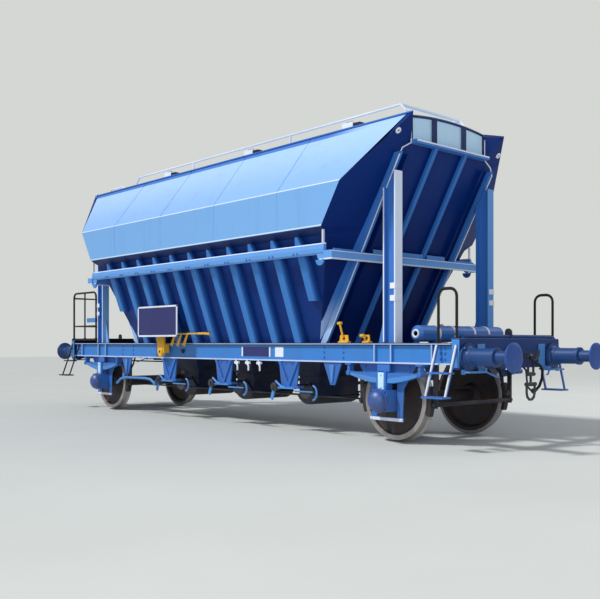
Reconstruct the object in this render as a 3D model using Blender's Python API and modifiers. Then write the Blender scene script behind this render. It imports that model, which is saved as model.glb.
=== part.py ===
"""A two-axle covered hopper wagon that empties itself by gravity.

X runs along the wagon, Y across it and Z up. The origin lies under the middle, level with the lowest
points of the wheel flanges. The rear end (-X) carries a platform, the front end (+X) the air tank.
"""

import math

import bmesh
import bpy
from mathutils import Matrix, Vector

# Running gear
FLANGE_DEPTH = 0.03
WHEEL_RADIUS = 0.50
WHEEL_BASE = 7.0
WHEEL_WIDTH = 0.135
FLANGE_WIDTH = 0.033
BACK_TO_BACK = 1.36
RIM_DEPTH = 0.07
WHEEL_WEB = 0.024
HUB_RADIUS = 0.13
HUB_LENGTH = 0.17
AXLE_RADIUS = 0.08
JOURNAL_RADIUS = 0.06
JOURNAL_SETBACK = 0.03
JOURNAL_LENGTH = 0.18
WHEEL_STEPS = 20

# Underframe
FRAME_LENGTH = 9.30
FRAME_WIDTH = 2.06
SOLE_TOP = 1.23
SOLE_HEIGHT = 0.25
SOLE_FLANGE = 0.10
SOLE_WEB = 0.014
SOLE_LEAF = 0.018
HEADSTOCK_RISE = 0.05
HEADSTOCK_FALL = 0.05
HEADSTOCK_DEPTH = 0.12
CROSS_PLACE = 3.87
CROSS_WIDTH = 0.14
CROSS_HEIGHT = 0.20
DRAFT_WIDTH = 0.34
DRAFT_SIDE = 0.05
STIFFENER = 0.016
STIFFENER_PLACES = (3.35, 3.62, 4.25)
HANGER_SETBACK = 0.02
HANGER_LEAF = 0.02
HANGER_START = 0.04
HANGER_END = 0.46
HANGER_TAPER = 0.05
HANGER_RIB = 0.05
HANGER_FOOT = 0.02
HANGER_SILL = 0.03
HANGER_DEPTH = 0.09
CROSS_INNER = 2.62
STRUT_PLACE = 2.60
STRUT_HALF = 0.17
STRUT_TIP = 0.04
STRUT_DROP = 0.30

# Buffers and draw gear
BUFFER_PLACE = 0.875
BUFFER_Z = 1.07
BUFFER_REACH = 0.63
BUFFER_HEAD = 0.165
BUFFER_FLAT = 0.12
BUFFER_DOME = 0.012
BUFFER_DISC = 0.03
BUFFER_PLUNGER = 0.07
BUFFER_SLEEVE = 0.095
BUFFER_SLEEVE_LENGTH = 0.40
BUFFER_BASE = 0.16
BUFFER_BASE_LEAF = 0.025
BUFFER_STEPS = 16
HOOK_Z = 1.08
HOOK_REACH = 0.36
HOOK_THROAT = 0.035
HOOK_LEAF = 0.06
HOOK_PLATE = 0.22
LINK_BAR = 0.016
LINK_NUT = 0.024
LINK_HALF = 0.055
LINK_DROP = 0.20
SCREW_DROP = 0.12
SHACKLE_HALF = 0.10
SHACKLE_DROP = 0.10

# Axle guards and springs
GUARD_SETBACK = 0.09
GUARD_LEAF = 0.012
GUARD_TOP = 0.48
GUARD_WAIST = 0.27
GUARD_WAIST_Z = 0.68
GUARD_LEG = 0.25
GUARD_FOOT = 0.32
GUARD_SLOT = 0.165
GUARD_SLOT_TOP = 0.84
TIE_BAR = 0.045
SPRING_HALF = 0.60
SPRING_TOP = 0.87
LEAF_COUNT = 5
LEAF_PITCH = 0.025
LEAF_WIDTH = 0.08
BUCKLE_HALF = 0.05
BOX_HALF_WIDTH = 0.14
BOX_HALF_HEIGHT = 0.13
BOX_REACH = 0.08
COVER_RADIUS = 0.13
COVER_DEPTH = 0.10
SHACKLE_LEAF = 0.02
JOURNAL_PLAY = 0.001

# Hopper, with its levels counted from the origin
BASE_HALF_LENGTH = 2.318
BASE_SETBACK = 0.102
LEDGE_Z = 2.58
LEDGE_STEP = 0.135
PANEL_Z = 2.67
PANEL_HALF_WIDTH = 1.535
PANEL_HALF_LENGTH = 2.935
SHOULDER_Z = 3.19
SHOULDER_HALF_LENGTH = 3.26
CORNER_Z = 3.55
END_TOP_Z = 3.70
END_HALF_LENGTH = 3.70
CROWN_Z = 3.98
CROWN_HALF_WIDTH = 0.93
CROWN_RISE = 0.08
EAR_HALF_LENGTH = 3.90
END_PLATE_HALF_WIDTH = 0.95
END_PANEL_HALF_WIDTH = 0.74
BASE_CORNER = 0.028
HOPPER_WALL = 0.014
CROWN_SHEET = 0.02
FLANGE_LEAF = 0.03
STRAP_LEAF = 0.012

# Ribs, rails and posts of the hopper
RIB_COUNT = 11
RIB_PITCH = 0.485
RIB_BASE = 0.18
RIB_FACE = 0.12
RIB_DEPTH = 0.095
GUSSET_FOOT = 0.12
GUSSET_HEAD = 0.04
WAIST_Z = 2.33
WAIST_HEIGHT = 0.14
WAIST_SETBACK = 0.106
WAIST_DEPTH = 0.048
WAIST_NOSE = 0.03
WAIST_LOBE = 0.07
BEAM_HEIGHT = 0.11
BEAM_DEPTH = 0.04
BEAM_Z = 2.26
END_RIB_PLACE = 0.30
END_RIB_WIDTH = 0.06
END_RIB_DEPTH = 0.07
THIN_RIB_PLACE = 0.76
THIN_RIB_WIDTH = 0.02
EDGE_RIB_WIDTH = 0.05
EDGE_RIB_DEPTH = 0.10
POST_PLACE = 3.58
POST_WIDTH = 0.20
POST_SETBACK = 0.025
POST_DEPTH = 0.13
POST_TOP = 3.32
POST_LEAF = 0.02
POST_FLARE = 0.12
POST_FLARE_HEIGHT = 0.45

# Discharge bays
BAY_PITCH = 1.49
BAY_EDGE = 0.69
THROAT_HALF_LENGTH = 0.21
THROAT_HALF_WIDTH = 0.40
THROAT_TOP = 0.74
BAY_WALL = 0.014
GATE_AXIS_Z = 0.62
GATE_ROOM = 0.012
GATE_HUB = 0.045
GATE_STEPS = 8
GATE_RADIUS = 0.28
GATE_SHEET = 0.012
GATE_ANGLE = 54.0
GATE_SIDE = 0.016
GATE_SHAFT = 0.025
SHAFT_PLAY = 0.001
SHAFT_STEPS = 12

# Hatches
HATCH_PLACE = 2.30
HATCH_HALF_LENGTH = 0.32
HATCH_HALF_WIDTH = 0.27
HATCH_WALL = 0.012
HATCH_RISE = 0.06
HATCH_SINK = 0.05
LID_RISE = 0.045
LID_LIP = 0.02
LID_SHEET = 0.012
LID_PIN = 0.010
LID_LAP = 0.02
LID_PIN_PLACE = 0.03
LID_EAR = 0.03
LID_EAR_PLACE = 0.20

# Fittings
TANK_RADIUS = 0.10
TANK_HALF = 0.85
TANK_ROUND = 0.03
TANK_LIFT = 0.014
TANK_SADDLE = 0.50
DECK_LEAF = 0.03
RAIL_BAR = 0.018
RAIL_INNER_BAR = 0.0144
RAIL_BEND = 0.09
RAIL_HEIGHT = 0.90
RAIL_MIDDLE_SHARE = 0.30
PLATFORM_GATE = 0.40
STEP_START = 4.33
STEP_WIDTH = 0.28
STEP_LEAN = 0.20
STEP_FOOT = 0.61
STEP_HEEL = 0.06
STEP_LEAF = 0.02
STEP_COUNT = 2
TREAD_DEPTH = 0.16
HOOP_WIDTH = 0.26
HOOP_HEIGHT = 0.57
ROOF_RAIL_TOP = 4.24
ROOF_RAIL_PLACE = 0.60
ROOF_RAIL_REAR = 2.95
ROOF_RAIL_FRONT = 3.50
ROOF_POST_SHARES = (0.28, 0.66)
ROOF_BAR = 0.018
ROOF_POST_BAR = 0.0162
LADDER_BAR = 0.016
LADDER_RUNG_BAR = 0.0112
LADDER_PLACE = 0.47
LADDER_WIDTH = 0.34
LADDER_OFF = 0.285
LADDER_TOP = 4.14
LADDER_END = 3.30
LADDER_RUNGS = 7
LEVER_PLACE = 1.42
LEVER_BRACKET = 0.20
LEVER_REACH = 0.10
LEVER_DROP = 0.16
LEVER_RISE = 0.16
LEVER_BAR = 0.014
LEVER_PRONG_BAR = 0.0112
LEVER_LENGTH = 1.15
LEVER_SHARES = (0.45, 0.60, 0.75)

# Clearances and overlaps
SEAM = 0.0003
BITE = 0.004
OVERRUN = 0.05
RUNNING = 0.006
WELD = 0.00002
CORNER_CUT = 0.15
CORNER_ROOM = 0.02

# Worked-out places
AXLE_Z = FLANGE_DEPTH + WHEEL_RADIUS
SOLE_OUTER = FRAME_WIDTH / 2
SOLE_INNER = SOLE_OUTER - SOLE_FLANGE
SOLE_BOTTOM = SOLE_TOP - SOLE_HEIGHT
FRAME_END = FRAME_LENGTH / 2
POST_OUTER = SOLE_OUTER - POST_SETBACK
GUARD_PLACE = SOLE_OUTER - GUARD_SETBACK
JOURNAL_MIDDLE = SOLE_OUTER - JOURNAL_SETBACK
BOX_FACE = SOLE_OUTER + BOX_REACH
BASE_HALF_WIDTH = SOLE_OUTER - BASE_SETBACK
LEDGE_HALF_WIDTH = PANEL_HALF_WIDTH - LEDGE_STEP
LADDER_SIDES = (-LADDER_PLACE - LADDER_WIDTH / 2, -LADDER_PLACE + LADDER_WIDTH / 2)
ROOF_RAIL_START, ROOF_RAIL_STOP = -ROOF_RAIL_REAR, ROOF_RAIL_FRONT
LEVER_START = -LEVER_PLACE
END_GRADE = (END_HALF_LENGTH - BASE_HALF_LENGTH) / (END_TOP_Z - SOLE_TOP)
ENDS = {"front": 1, "rear": -1}
SIDES = {"left": 1, "right": -1}
HATCHES = (-HATCH_PLACE, 0, HATCH_PLACE)
BAYS = (-BAY_PITCH, 0, BAY_PITCH)


def clear_scene():
    for item in list(bpy.data.objects):
        bpy.data.objects.remove(item)


def make_collection(name, parent=None):
    collection = bpy.data.collections.new(name)
    (parent or bpy.context.scene.collection).children.link(collection)
    return collection


def paint(name, colour, roughness=0.5, metallic=0.0):
    material = bpy.data.materials.new(name)
    material.use_nodes = True
    shader = material.node_tree.nodes["Principled BSDF"]
    shader.inputs["Base Color"].default_value = (*colour, 1)
    shader.inputs["Roughness"].default_value = roughness
    shader.inputs["Metallic"].default_value = metallic
    material.diffuse_color = (*colour, 1)
    return material


def helper(mesh, collection=None):
    """A piece that a Boolean reads, kept out of the picture."""
    piece = bpy.data.objects.new("helper", mesh)
    (collection or HELPERS).objects.link(piece)
    piece.hide_render = True
    piece.display_type = "WIRE"
    return piece


def mesh_of(bm):
    mesh = bpy.data.meshes.new("shape")
    bmesh.ops.recalc_face_normals(bm, faces=bm.faces)
    bm.to_mesh(mesh)
    bm.free()
    return mesh


def baked(piece):
    """The piece's evaluated shape as a welded mesh in world space."""
    graph = bpy.context.evaluated_depsgraph_get()
    mesh = bpy.data.meshes.new_from_object(piece.evaluated_get(graph))
    mesh.transform(piece.matrix_world)
    data = piece.data
    bpy.data.objects.remove(piece)
    if isinstance(data, bpy.types.Curve):
        bpy.data.curves.remove(data)
    bm = bmesh.new()
    bm.from_mesh(mesh)
    bmesh.ops.remove_doubles(bm, verts=bm.verts, dist=WELD)
    return mesh_of(bm)


def block(x, y, z):
    """A box between two places on each axis."""
    spans = [sorted(pair) for pair in (x, y, z)]
    bm = bmesh.new()
    bmesh.ops.create_cube(bm, size=1)
    size = [high - low for low, high in spans]
    middle = [(high + low) / 2 for low, high in spans]
    bmesh.ops.transform(bm, matrix=Matrix.LocRotScale(middle, None, size), verts=bm.verts)
    return mesh_of(bm)


def loft(rings):
    """A closed skin over rings of as many points each, capped at both ends."""
    bm = bmesh.new()
    rows = [[bm.verts.new(point) for point in ring] for ring in rings]
    for low, high in zip(rows, rows[1:]):
        for i, first in enumerate(low):
            j = (i + 1) % len(low)
            bm.faces.new((first, low[j], high[j], high[i]))
    bm.faces.new(reversed(rows[0]))
    bm.faces.new(rows[-1])
    bmesh.ops.triangulate(bm, faces=bm.faces)
    return mesh_of(bm)


PLANES = {
    "xy": Matrix(((1, 0, 0, 0), (0, 1, 0, 0), (0, 0, 1, 0), (0, 0, 0, 1))),
    "xz": Matrix(((1, 0, 0, 0), (0, 0, -1, 0), (0, 1, 0, 0), (0, 0, 0, 1))),
    "yz": Matrix(((0, 0, 1, 0), (1, 0, 0, 0), (0, 1, 0, 0), (0, 0, 0, 1))),
}


def plate(plane, outline, low, high, holes=()):
    """A flat outline drawn in one plane and given its thickness across it, from low to high."""
    curve = bpy.data.curves.new("outline", "CURVE")
    curve.dimensions = "2D"
    curve.fill_mode = "BOTH"
    curve.extrude = abs(high - low) / 2
    for ring in (outline, *holes):
        spline = curve.splines.new("POLY")
        spline.points.add(len(ring) - 1)
        for point, (u, v) in zip(spline.points, ring):
            point.co = (u, v, 0, 1)
        spline.use_cyclic_u = True
    piece = bpy.data.objects.new("outline", curve)
    HELPERS.objects.link(piece)
    middle = (high + low) / 2
    across = -middle if plane == "xz" else middle
    piece.matrix_world = PLANES[plane] @ Matrix.Translation((0, 0, across))
    bpy.context.view_layer.update()
    return baked(piece)


def rod(points, radius, sides=1, closed=False):
    """A round bar along a line of points."""
    curve = bpy.data.curves.new("bar", "CURVE")
    curve.dimensions = "3D"
    curve.bevel_depth = radius
    curve.bevel_resolution = sides
    curve.use_fill_caps = True
    spline = curve.splines.new("POLY")
    spline.points.add(len(points) - 1)
    for point, place in zip(spline.points, points):
        point.co = (*place, 1)
    spline.use_cyclic_u = closed
    piece = bpy.data.objects.new("bar", curve)
    HELPERS.objects.link(piece)
    bpy.context.view_layer.update()
    return baked(piece)


def turned(profile, steps, matrix):
    """A profile of (radius, height), from its top on the axis down to its bottom, turned about Z."""
    mesh = bpy.data.meshes.new("profile")
    points = [(radius, 0, height) for radius, height in profile]
    edges = [(i, i + 1) for i in range(len(points) - 1)]
    mesh.from_pydata(points, edges, [])
    piece = bpy.data.objects.new("profile", mesh)
    HELPERS.objects.link(piece)
    screw = piece.modifiers.new("turn", "SCREW")
    screw.steps = screw.render_steps = steps
    screw.use_merge_vertices = True
    screw.merge_threshold = WELD
    piece.matrix_world = matrix
    bpy.context.view_layer.update()
    return baked(piece)


def arc(middle, radius, start, end, steps):
    """Points on a circle, from one angle in degrees to another."""
    angles = [math.radians(start + (end - start) * i / steps) for i in range(steps + 1)]
    return [(middle[0] + radius * math.cos(a), middle[1] + radius * math.sin(a)) for a in angles]


PLAN = []


def part(name, material, base, adds=(), cuts=(), keep=None, pivot=None):
    """Plans one sub-part: a base shape, what is joined to it, cut from it and what bounds it."""
    PLAN.append((name, material, base, adds, cuts, keep, pivot))


def assemble(name, material, base, adds, cuts, keep, pivot):
    """Makes one planned sub-part with its Booleans live."""
    piece = bpy.data.objects.new(name, base)
    WAGON.objects.link(piece)
    steps = (("INTERSECT", [keep] if keep else []), ("UNION", adds), ("DIFFERENCE", cuts))
    for operation, meshes in steps:
        if not meshes:
            continue
        operands = make_collection(f"{name} {operation.lower()}", HELPERS)
        for mesh in meshes:
            helper(mesh, operands)
        change = piece.modifiers.new(operation.lower(), "BOOLEAN")
        change.operation = operation
        change.operand_type = "COLLECTION"
        change.collection = operands
        change.solver = "EXACT"
    piece.data.materials.clear()
    piece.data.materials.append(material)
    if pivot:
        base.transform(Matrix.Translation(-Vector(pivot)))
        piece.location = pivot


def roof_share(z):
    return (z - SHOULDER_Z) / (CROWN_Z - SHOULDER_Z)


def between(low, high, share):
    return low + (high - low) * share


def end_x(z):
    """Outer face of the sloping end plate."""
    return END_HALF_LENGTH - END_GRADE * (END_TOP_Z - z)


def hopper_side(z):
    """Half width and half length of the hopper's side walls at a level."""
    base_length = BASE_HALF_LENGTH - BASE_CORNER
    length = between(base_length, PANEL_HALF_LENGTH, (z - SOLE_TOP) / (PANEL_Z - SOLE_TOP))
    if z <= LEDGE_Z:
        share = (z - SOLE_TOP) / (LEDGE_Z - SOLE_TOP)
        return between(BASE_HALF_WIDTH, LEDGE_HALF_WIDTH, share), length
    if z <= PANEL_Z:
        share = (z - LEDGE_Z) / (PANEL_Z - LEDGE_Z)
        return between(LEDGE_HALF_WIDTH, PANEL_HALF_WIDTH, share), length
    if z <= SHOULDER_Z:
        share = (z - PANEL_Z) / (SHOULDER_Z - PANEL_Z)
        return PANEL_HALF_WIDTH, between(PANEL_HALF_LENGTH, SHOULDER_HALF_LENGTH, share)
    share = roof_share(z)
    return (
        between(PANEL_HALF_WIDTH, CROWN_HALF_WIDTH, share),
        between(SHOULDER_HALF_LENGTH, EAR_HALF_LENGTH, share),
    )


def hopper_levels():
    """Each bend of the hopper: level, half width of its end plate, half length at that plate."""
    base = (SOLE_TOP + SEAM, BASE_HALF_WIDTH - BASE_CORNER, end_x(SOLE_TOP))
    plate_bends = [(z, END_PLATE_HALF_WIDTH, end_x(z)) for z in (LEDGE_Z, PANEL_Z, SHOULDER_Z, CORNER_Z)]
    head = [(z, END_PANEL_HALF_WIDTH, END_HALF_LENGTH) for z in (END_TOP_Z, CROWN_Z)]
    return [base, *plate_bends, *head]


def hopper_ring(z, plate_width, plate_x, inset=0, level=None):
    """Eight corners of the hopper's outline at a level."""
    side_y, side_x = hopper_side(z)
    side_y, side_x, plate_x = side_y - inset, side_x - inset, plate_x - inset
    width = plate_width - inset / 2
    quarter = [(plate_x, width), (side_x, side_y)]
    around = quarter + [(-x, y) for x, y in reversed(quarter)]
    around += [(-x, -y) for x, y in quarter] + [(x, -y) for x, y in reversed(quarter)]
    return [(x, y, z if level is None else level) for x, y in around]


def hopper_shell():
    """The sheet of the whole hopper, open below and under its crown."""
    levels = hopper_levels()
    outer = loft([hopper_ring(*level) for level in levels])
    rings = [hopper_ring(*level, inset=HOPPER_WALL) for level in levels]
    below = hopper_ring(*levels[0], inset=HOPPER_WALL, level=SOLE_TOP - OVERRUN)
    above = hopper_ring(*levels[-1], inset=HOPPER_WALL, level=CROWN_Z + OVERRUN)
    shell = helper(outer)
    cut = shell.modifiers.new("hollow", "BOOLEAN")
    cut.object = helper(loft([below, *rings, above]))
    bpy.context.view_layer.update()
    cutter = cut.object
    mesh = baked(shell)
    bpy.data.objects.remove(cutter)
    return mesh


def side_region(levels, side):
    """The space that holds one side's sheet, mitred against the ends."""
    rings = []
    for z, at in levels:
        y, x = hopper_side(at)
        far = (x + 2 * OVERRUN - SEAM, (y + OVERRUN) * side)
        near = (x - 2 * CORNER_CUT - SEAM, (y - CORNER_CUT) * side)
        rings.append([(px, py, z) for px, py in (far, near, (-near[0], near[1]), (-far[0], far[1]))])
    return loft(rings)


def end_region(end):
    """The space that holds one end's sheets."""
    rings = []
    bends = [(level[0], level[0]) for level in hopper_levels()[1:-1]]
    lowest, highest = (SOLE_TOP - OVERRUN, SOLE_TOP), (CROWN_Z + OVERRUN, CROWN_Z)
    for z, at in (lowest, *bends, highest):
        y, x = hopper_side(at)
        half = [
            (x + 2 * OVERRUN + SEAM, y + OVERRUN),
            (x - 2 * CORNER_CUT + SEAM, y - CORNER_CUT),
        ]
        beyond = EAR_HALF_LENGTH + 2 * CORNER_CUT
        ring = [(beyond, half[0][1]), *half]
        ring += [(px, -py) for px, py in reversed(ring)]
        rings.append([(px * end, py, z) for px, py in ring])
    return loft(rings)


def bar_up(low, high, place, across):
    """A bar that climbs between two levels; place gives its inner line and across its section."""
    rings = []
    for z in (low, high):
        inner = place(z)
        rings.append([(*corner, z) for corner in across(inner)])
    return loft(rings)


def side_ribs(side):
    """Top-hat ribs from the sole bar to the waist rail, and the gussets above it."""
    ribs = []
    waist_top = WAIST_Z + WAIST_HEIGHT
    half_count = (RIB_COUNT - 1) / 2
    for i in range(RIB_COUNT):
        x = (i - half_count) * RIB_PITCH
        corner = abs(x) + RIB_BASE / 2 + CORNER_ROOM
        grade = (PANEL_Z - SOLE_TOP) / (PANEL_HALF_LENGTH - BASE_HALF_LENGTH + BASE_CORNER)
        foot = max(SOLE_TOP + SEAM, SOLE_TOP + (corner - BASE_HALF_LENGTH + BASE_CORNER) * grade)

        def section(inner, base=RIB_BASE, face=RIB_FACE, x=x):
            out = inner + RIB_DEPTH
            back = inner - BITE
            corners = ((x - base / 2, back), (x + base / 2, back), (x + face / 2, out), (x - face / 2, out))
            return [(px, py * side) for px, py in corners]

        ribs.append(bar_up(foot, waist_top, lambda z: hopper_side(z)[0], section))
        start, head = waist_top - BITE, LEDGE_Z - SEAM
        wide = section(hopper_side(start)[0], GUSSET_FOOT, GUSSET_FOOT)
        thin = section(hopper_side(head)[0], GUSSET_HEAD, GUSSET_HEAD)
        ribs.append(loft([[(*p, start) for p in wide], [(*p, head) for p in thin]]))
    return ribs


def make_hopper():
    shell = hopper_shell()
    seam = SEAM / 2
    low = [(SOLE_TOP - OVERRUN, SOLE_TOP), (LEDGE_Z - seam, LEDGE_Z)]
    high = [(LEDGE_Z + seam, LEDGE_Z), (PANEL_Z, PANEL_Z), (SHOULDER_Z, SHOULDER_Z)]
    high.append((CROWN_Z + OVERRUN, CROWN_Z))
    for name, side in SIDES.items():
        sheet = side_region(low, side)
        part(f"side_sheet_{name}", MID_BLUE, shell.copy(), side_ribs(side), keep=sheet)
        part(f"side_panel_{name}", LIGHT_BLUE, shell.copy(), keep=side_region(high, side))
    for name, end in ENDS.items():
        window = END_PANEL_HALF_WIDTH - THIN_RIB_WIDTH
        opening = block(
            (end * (END_HALF_LENGTH - CORNER_CUT), end * (END_HALF_LENGTH + CORNER_CUT)),
            (-window, window),
            (END_TOP_Z + FLANGE_LEAF, CROWN_Z + OVERRUN),
        )
        part(f"end_slope_{name}", NAVY, shell.copy(), end_ribs(end), [opening], end_region(end))
        make_end_panel(name, end)
    make_crown()


def end_ribs(end):
    """Ribs and edge channels down the end plate, and the flange across its head."""
    foot = SOLE_TOP + SEAM
    ribs = []
    for place, width, depth, head in (
        (END_RIB_PLACE, END_RIB_WIDTH, END_RIB_DEPTH, END_TOP_Z),
        (THIN_RIB_PLACE, THIN_RIB_WIDTH, END_RIB_DEPTH, CORNER_Z),
        (END_PLATE_HALF_WIDTH - EDGE_RIB_WIDTH / 2, EDGE_RIB_WIDTH, EDGE_RIB_DEPTH, CORNER_Z),
    ):
        for side in SIDES.values():
            y = place * side

            def section(inner, y=y, width=width, depth=depth):
                xs, ys = (inner - BITE, inner + depth), (y - width / 2, y + width / 2)
                corners = ((xs[0], ys[0]), (xs[0], ys[1]), (xs[1], ys[1]), (xs[1], ys[0]))
                return [(px * end, py) for px, py in corners]

            ribs.append(bar_up(foot, head, end_x, section))
    flange = block(
        (end * (END_HALF_LENGTH - BITE), end * (END_HALF_LENGTH + EDGE_RIB_DEPTH)),
        (-END_PANEL_HALF_WIDTH, END_PANEL_HALF_WIDTH),
        (END_TOP_Z - FLANGE_LEAF, END_TOP_Z + FLANGE_LEAF / 2),
    )
    return ribs + [flange]


def crown_line(half_width, drop, steps=12):
    """The crown's arch across the wagon, as (y, z)."""
    radius = (CROWN_HALF_WIDTH**2 + CROWN_RISE**2) / (2 * CROWN_RISE)
    middle = (0, CROWN_Z + CROWN_RISE - radius)
    reach = math.degrees(math.asin(half_width / radius))
    return arc(middle, radius - drop, 90 + reach, 90 - reach, steps)


def make_end_panel(name, end):
    """The arched plate that closes the hopper above the sloping end."""
    half = END_PANEL_HALF_WIDTH - THIN_RIB_WIDTH - SEAM
    bottom = END_TOP_Z + FLANGE_LEAF + SEAM
    top = crown_line(half, CROWN_SHEET + SEAM)
    outline = [(half, bottom), (-half, bottom), *top]
    face = end * END_HALF_LENGTH
    panel = plate("yz", outline, face - end * HOPPER_WALL, face)
    straps = []
    for side in SIDES.values():
        y = END_RIB_PLACE * side
        head = CROWN_Z + SEAM
        span = (y - END_RIB_WIDTH / 2, y + END_RIB_WIDTH / 2)
        straps.append(block((face - end * BITE, face + end * STRAP_LEAF), span, (bottom, head)))
    part(f"end_panel_{name}", LIGHT_BLUE, panel, straps)


def make_crown():
    """The arched top sheet with its three hatch collars."""
    over = crown_line(CROWN_HALF_WIDTH, -SEAM)
    under = [(y, z - CROWN_SHEET) for y, z in reversed(over)]
    under = [(y, max(z, CROWN_Z + SEAM)) for y, z in under]
    lift = [(y, z + CROWN_SHEET) for y, z in over]
    sheet = plate("yz", lift + [(y, z + SEAM) for y, z in under], -EAR_HALF_LENGTH, EAR_HALF_LENGTH)
    width, reach = END_PANEL_HALF_WIDTH, END_HALF_LENGTH
    corners = [
        (reach, -width), (reach, width), (EAR_HALF_LENGTH, CROWN_HALF_WIDTH),
        (-EAR_HALF_LENGTH, CROWN_HALF_WIDTH), (-reach, width), (-reach, -width),
        (-EAR_HALF_LENGTH, -CROWN_HALF_WIDTH), (EAR_HALF_LENGTH, -CROWN_HALF_WIDTH),
    ]
    keep = plate("xy", corners, CROWN_Z - OVERRUN, CROWN_Z + CROWN_RISE + OVERRUN)
    collars, holes = [], []
    rim = CROWN_Z + CROWN_RISE + HATCH_RISE
    for x in HATCHES:
        foot = CROWN_Z + CROWN_RISE - HATCH_SINK
        outer = [(x - HATCH_HALF_LENGTH, x + HATCH_HALF_LENGTH), (-HATCH_HALF_WIDTH, HATCH_HALF_WIDTH)]
        inner = [(low + HATCH_WALL, high - HATCH_WALL) for low, high in outer]
        collars.append(block(*outer, (foot, rim)))
        collars.extend(hatch_pins(x))
        holes.append(block(*inner, (foot - OVERRUN, rim + OVERRUN)))
    part("roof_crown", SKY_BLUE, sheet, collars, holes, keep)


def waist_inner():
    """The vertical plane that the ribs' outer edges reach at the rail's head."""
    return hopper_side(WAIST_Z + WAIST_HEIGHT)[0] + RIB_DEPTH + SEAM


def make_waist():
    """The rail along each side and the beam across each end, butted at the corners."""
    inner = waist_inner()
    face = end_x(BEAM_Z + BEAM_HEIGHT) + EDGE_RIB_DEPTH + SEAM
    reach = face - WAIST_SETBACK
    outer = inner + WAIST_DEPTH
    nose = WAIST_HEIGHT / 2
    top = WAIST_Z + WAIST_HEIGHT
    for name, side in SIDES.items():
        bulge = arc((outer - WAIST_NOSE, WAIST_Z + nose), nose, 90, -90, 4)
        bulge = [(between(outer - WAIST_NOSE, y, WAIST_NOSE / nose), z) for y, z in bulge]
        outline = [(inner, top), *bulge, (inner, WAIST_Z)]
        outline = [(y * side, z) for y, z in outline]
        rail = plate("yz", outline, -reach, reach)
        lobes = []
        for end in ENDS.values():
            x = end * (reach - WAIST_LOBE)
            lobe = [(x + WAIST_LOBE, top - WAIST_NOSE), (x - WAIST_LOBE, top - WAIST_NOSE)]
            lobe += arc((x, WAIST_Z), WAIST_LOBE, 180, 360, 6)
            middle = between(inner, outer, 0.5)
            leaf = (side * (middle - BITE), side * (middle + BITE))
            lobes.append(plate("xz", lobe, *leaf))
        part(f"waist_rail_{name}", MID_BLUE, rail, lobes)
    for name, end in ENDS.items():
        beam = block((end * face, end * (face + BEAM_DEPTH)), (-outer, outer), (BEAM_Z, BEAM_Z + BEAM_HEIGHT))
        returns = []
        for side in SIDES.values():
            y = (side * inner, side * outer)
            x = (end * (reach + SEAM), end * (face + BITE))
            returns.append(block(x, y, (BEAM_Z, BEAM_Z + BEAM_HEIGHT)))
        part(f"waist_beam_{name}", MID_BLUE, beam, returns)


def make_posts():
    """H-section corner posts from the sole bars to the edge channels of the sloping ends."""
    foot = SOLE_TOP + SEAM
    inboard, outboard = POST_PLACE - POST_WIDTH / 2, POST_PLACE + POST_WIDTH / 2
    lean = EDGE_RIB_DEPTH + 2 * SEAM
    shoulder = END_TOP_Z - (END_HALF_LENGTH + lean - inboard) / END_GRADE
    step = end_x(POST_TOP) + lean
    web = [(inboard, foot), (outboard, foot), (outboard, POST_TOP), (step, POST_TOP), (inboard, shoulder)]
    flare = [(inboard - POST_FLARE, foot), (inboard + BITE, foot), (inboard + BITE, foot + POST_FLARE_HEIGHT)]
    for end_name, end in ENDS.items():
        for side_name, side in SIDES.items():
            def leaf(outline, low, high):
                return plate("xz", [(x * end, z) for x, z in outline], side * low, side * high)

            middle = POST_OUTER - POST_DEPTH / 2
            web_faces = (middle - POST_LEAF / 2, middle + POST_LEAF / 2)
            base = leaf(web, *web_faces)
            outer_flange = block(
                (end * outboard, end * (outboard - POST_LEAF)),
                (side * (POST_OUTER - POST_DEPTH), side * POST_OUTER),
                (foot, POST_TOP),
            )
            inner_flange = block(
                (end * inboard, end * (inboard + POST_LEAF)),
                (side * (POST_OUTER - POST_DEPTH), side * POST_OUTER),
                (foot, shoulder),
            )
            adds = [outer_flange, inner_flange, leaf(flare, *web_faces)]
            part(f"corner_post_{end_name}_{side_name}", MID_BLUE, base, adds)


def make_sole_bars():
    """I-section sole bars with the hangers of the bay gear and web stiffeners."""
    reach = FRAME_END - HEADSTOCK_DEPTH - SEAM
    middle = between(SOLE_INNER, SOLE_OUTER, 0.5)
    for name, side in SIDES.items():
        web_y = (side * (middle - SOLE_WEB / 2), side * (middle + SOLE_WEB / 2))
        web = block((-reach, reach), web_y, (SOLE_BOTTOM, SOLE_TOP))
        flanges = [
            block((-reach, reach), (side * SOLE_INNER, side * SOLE_OUTER), (z, z + SOLE_LEAF))
            for z in (SOLE_BOTTOM, SOLE_TOP - SOLE_LEAF)
        ]
        stiffeners = []
        for x in STIFFENER_PLACES:
            for end in ENDS.values():
                span = (end * x - STIFFENER / 2, end * x + STIFFENER / 2)
                across = (side * (middle + BITE), side * (SOLE_OUTER - BITE))
                stiffeners.append(block(span, across, (SOLE_BOTTOM + BITE, SOLE_TOP - BITE)))
        hangers = [piece for x in BAYS for piece in bay_hanger(x, side)]
        for end in ENDS.values():
            hangers.append(strut(end * STRUT_PLACE, side))
        part(f"sole_bar_{name}", MID_BLUE, web, flanges + stiffeners + hangers)


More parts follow.
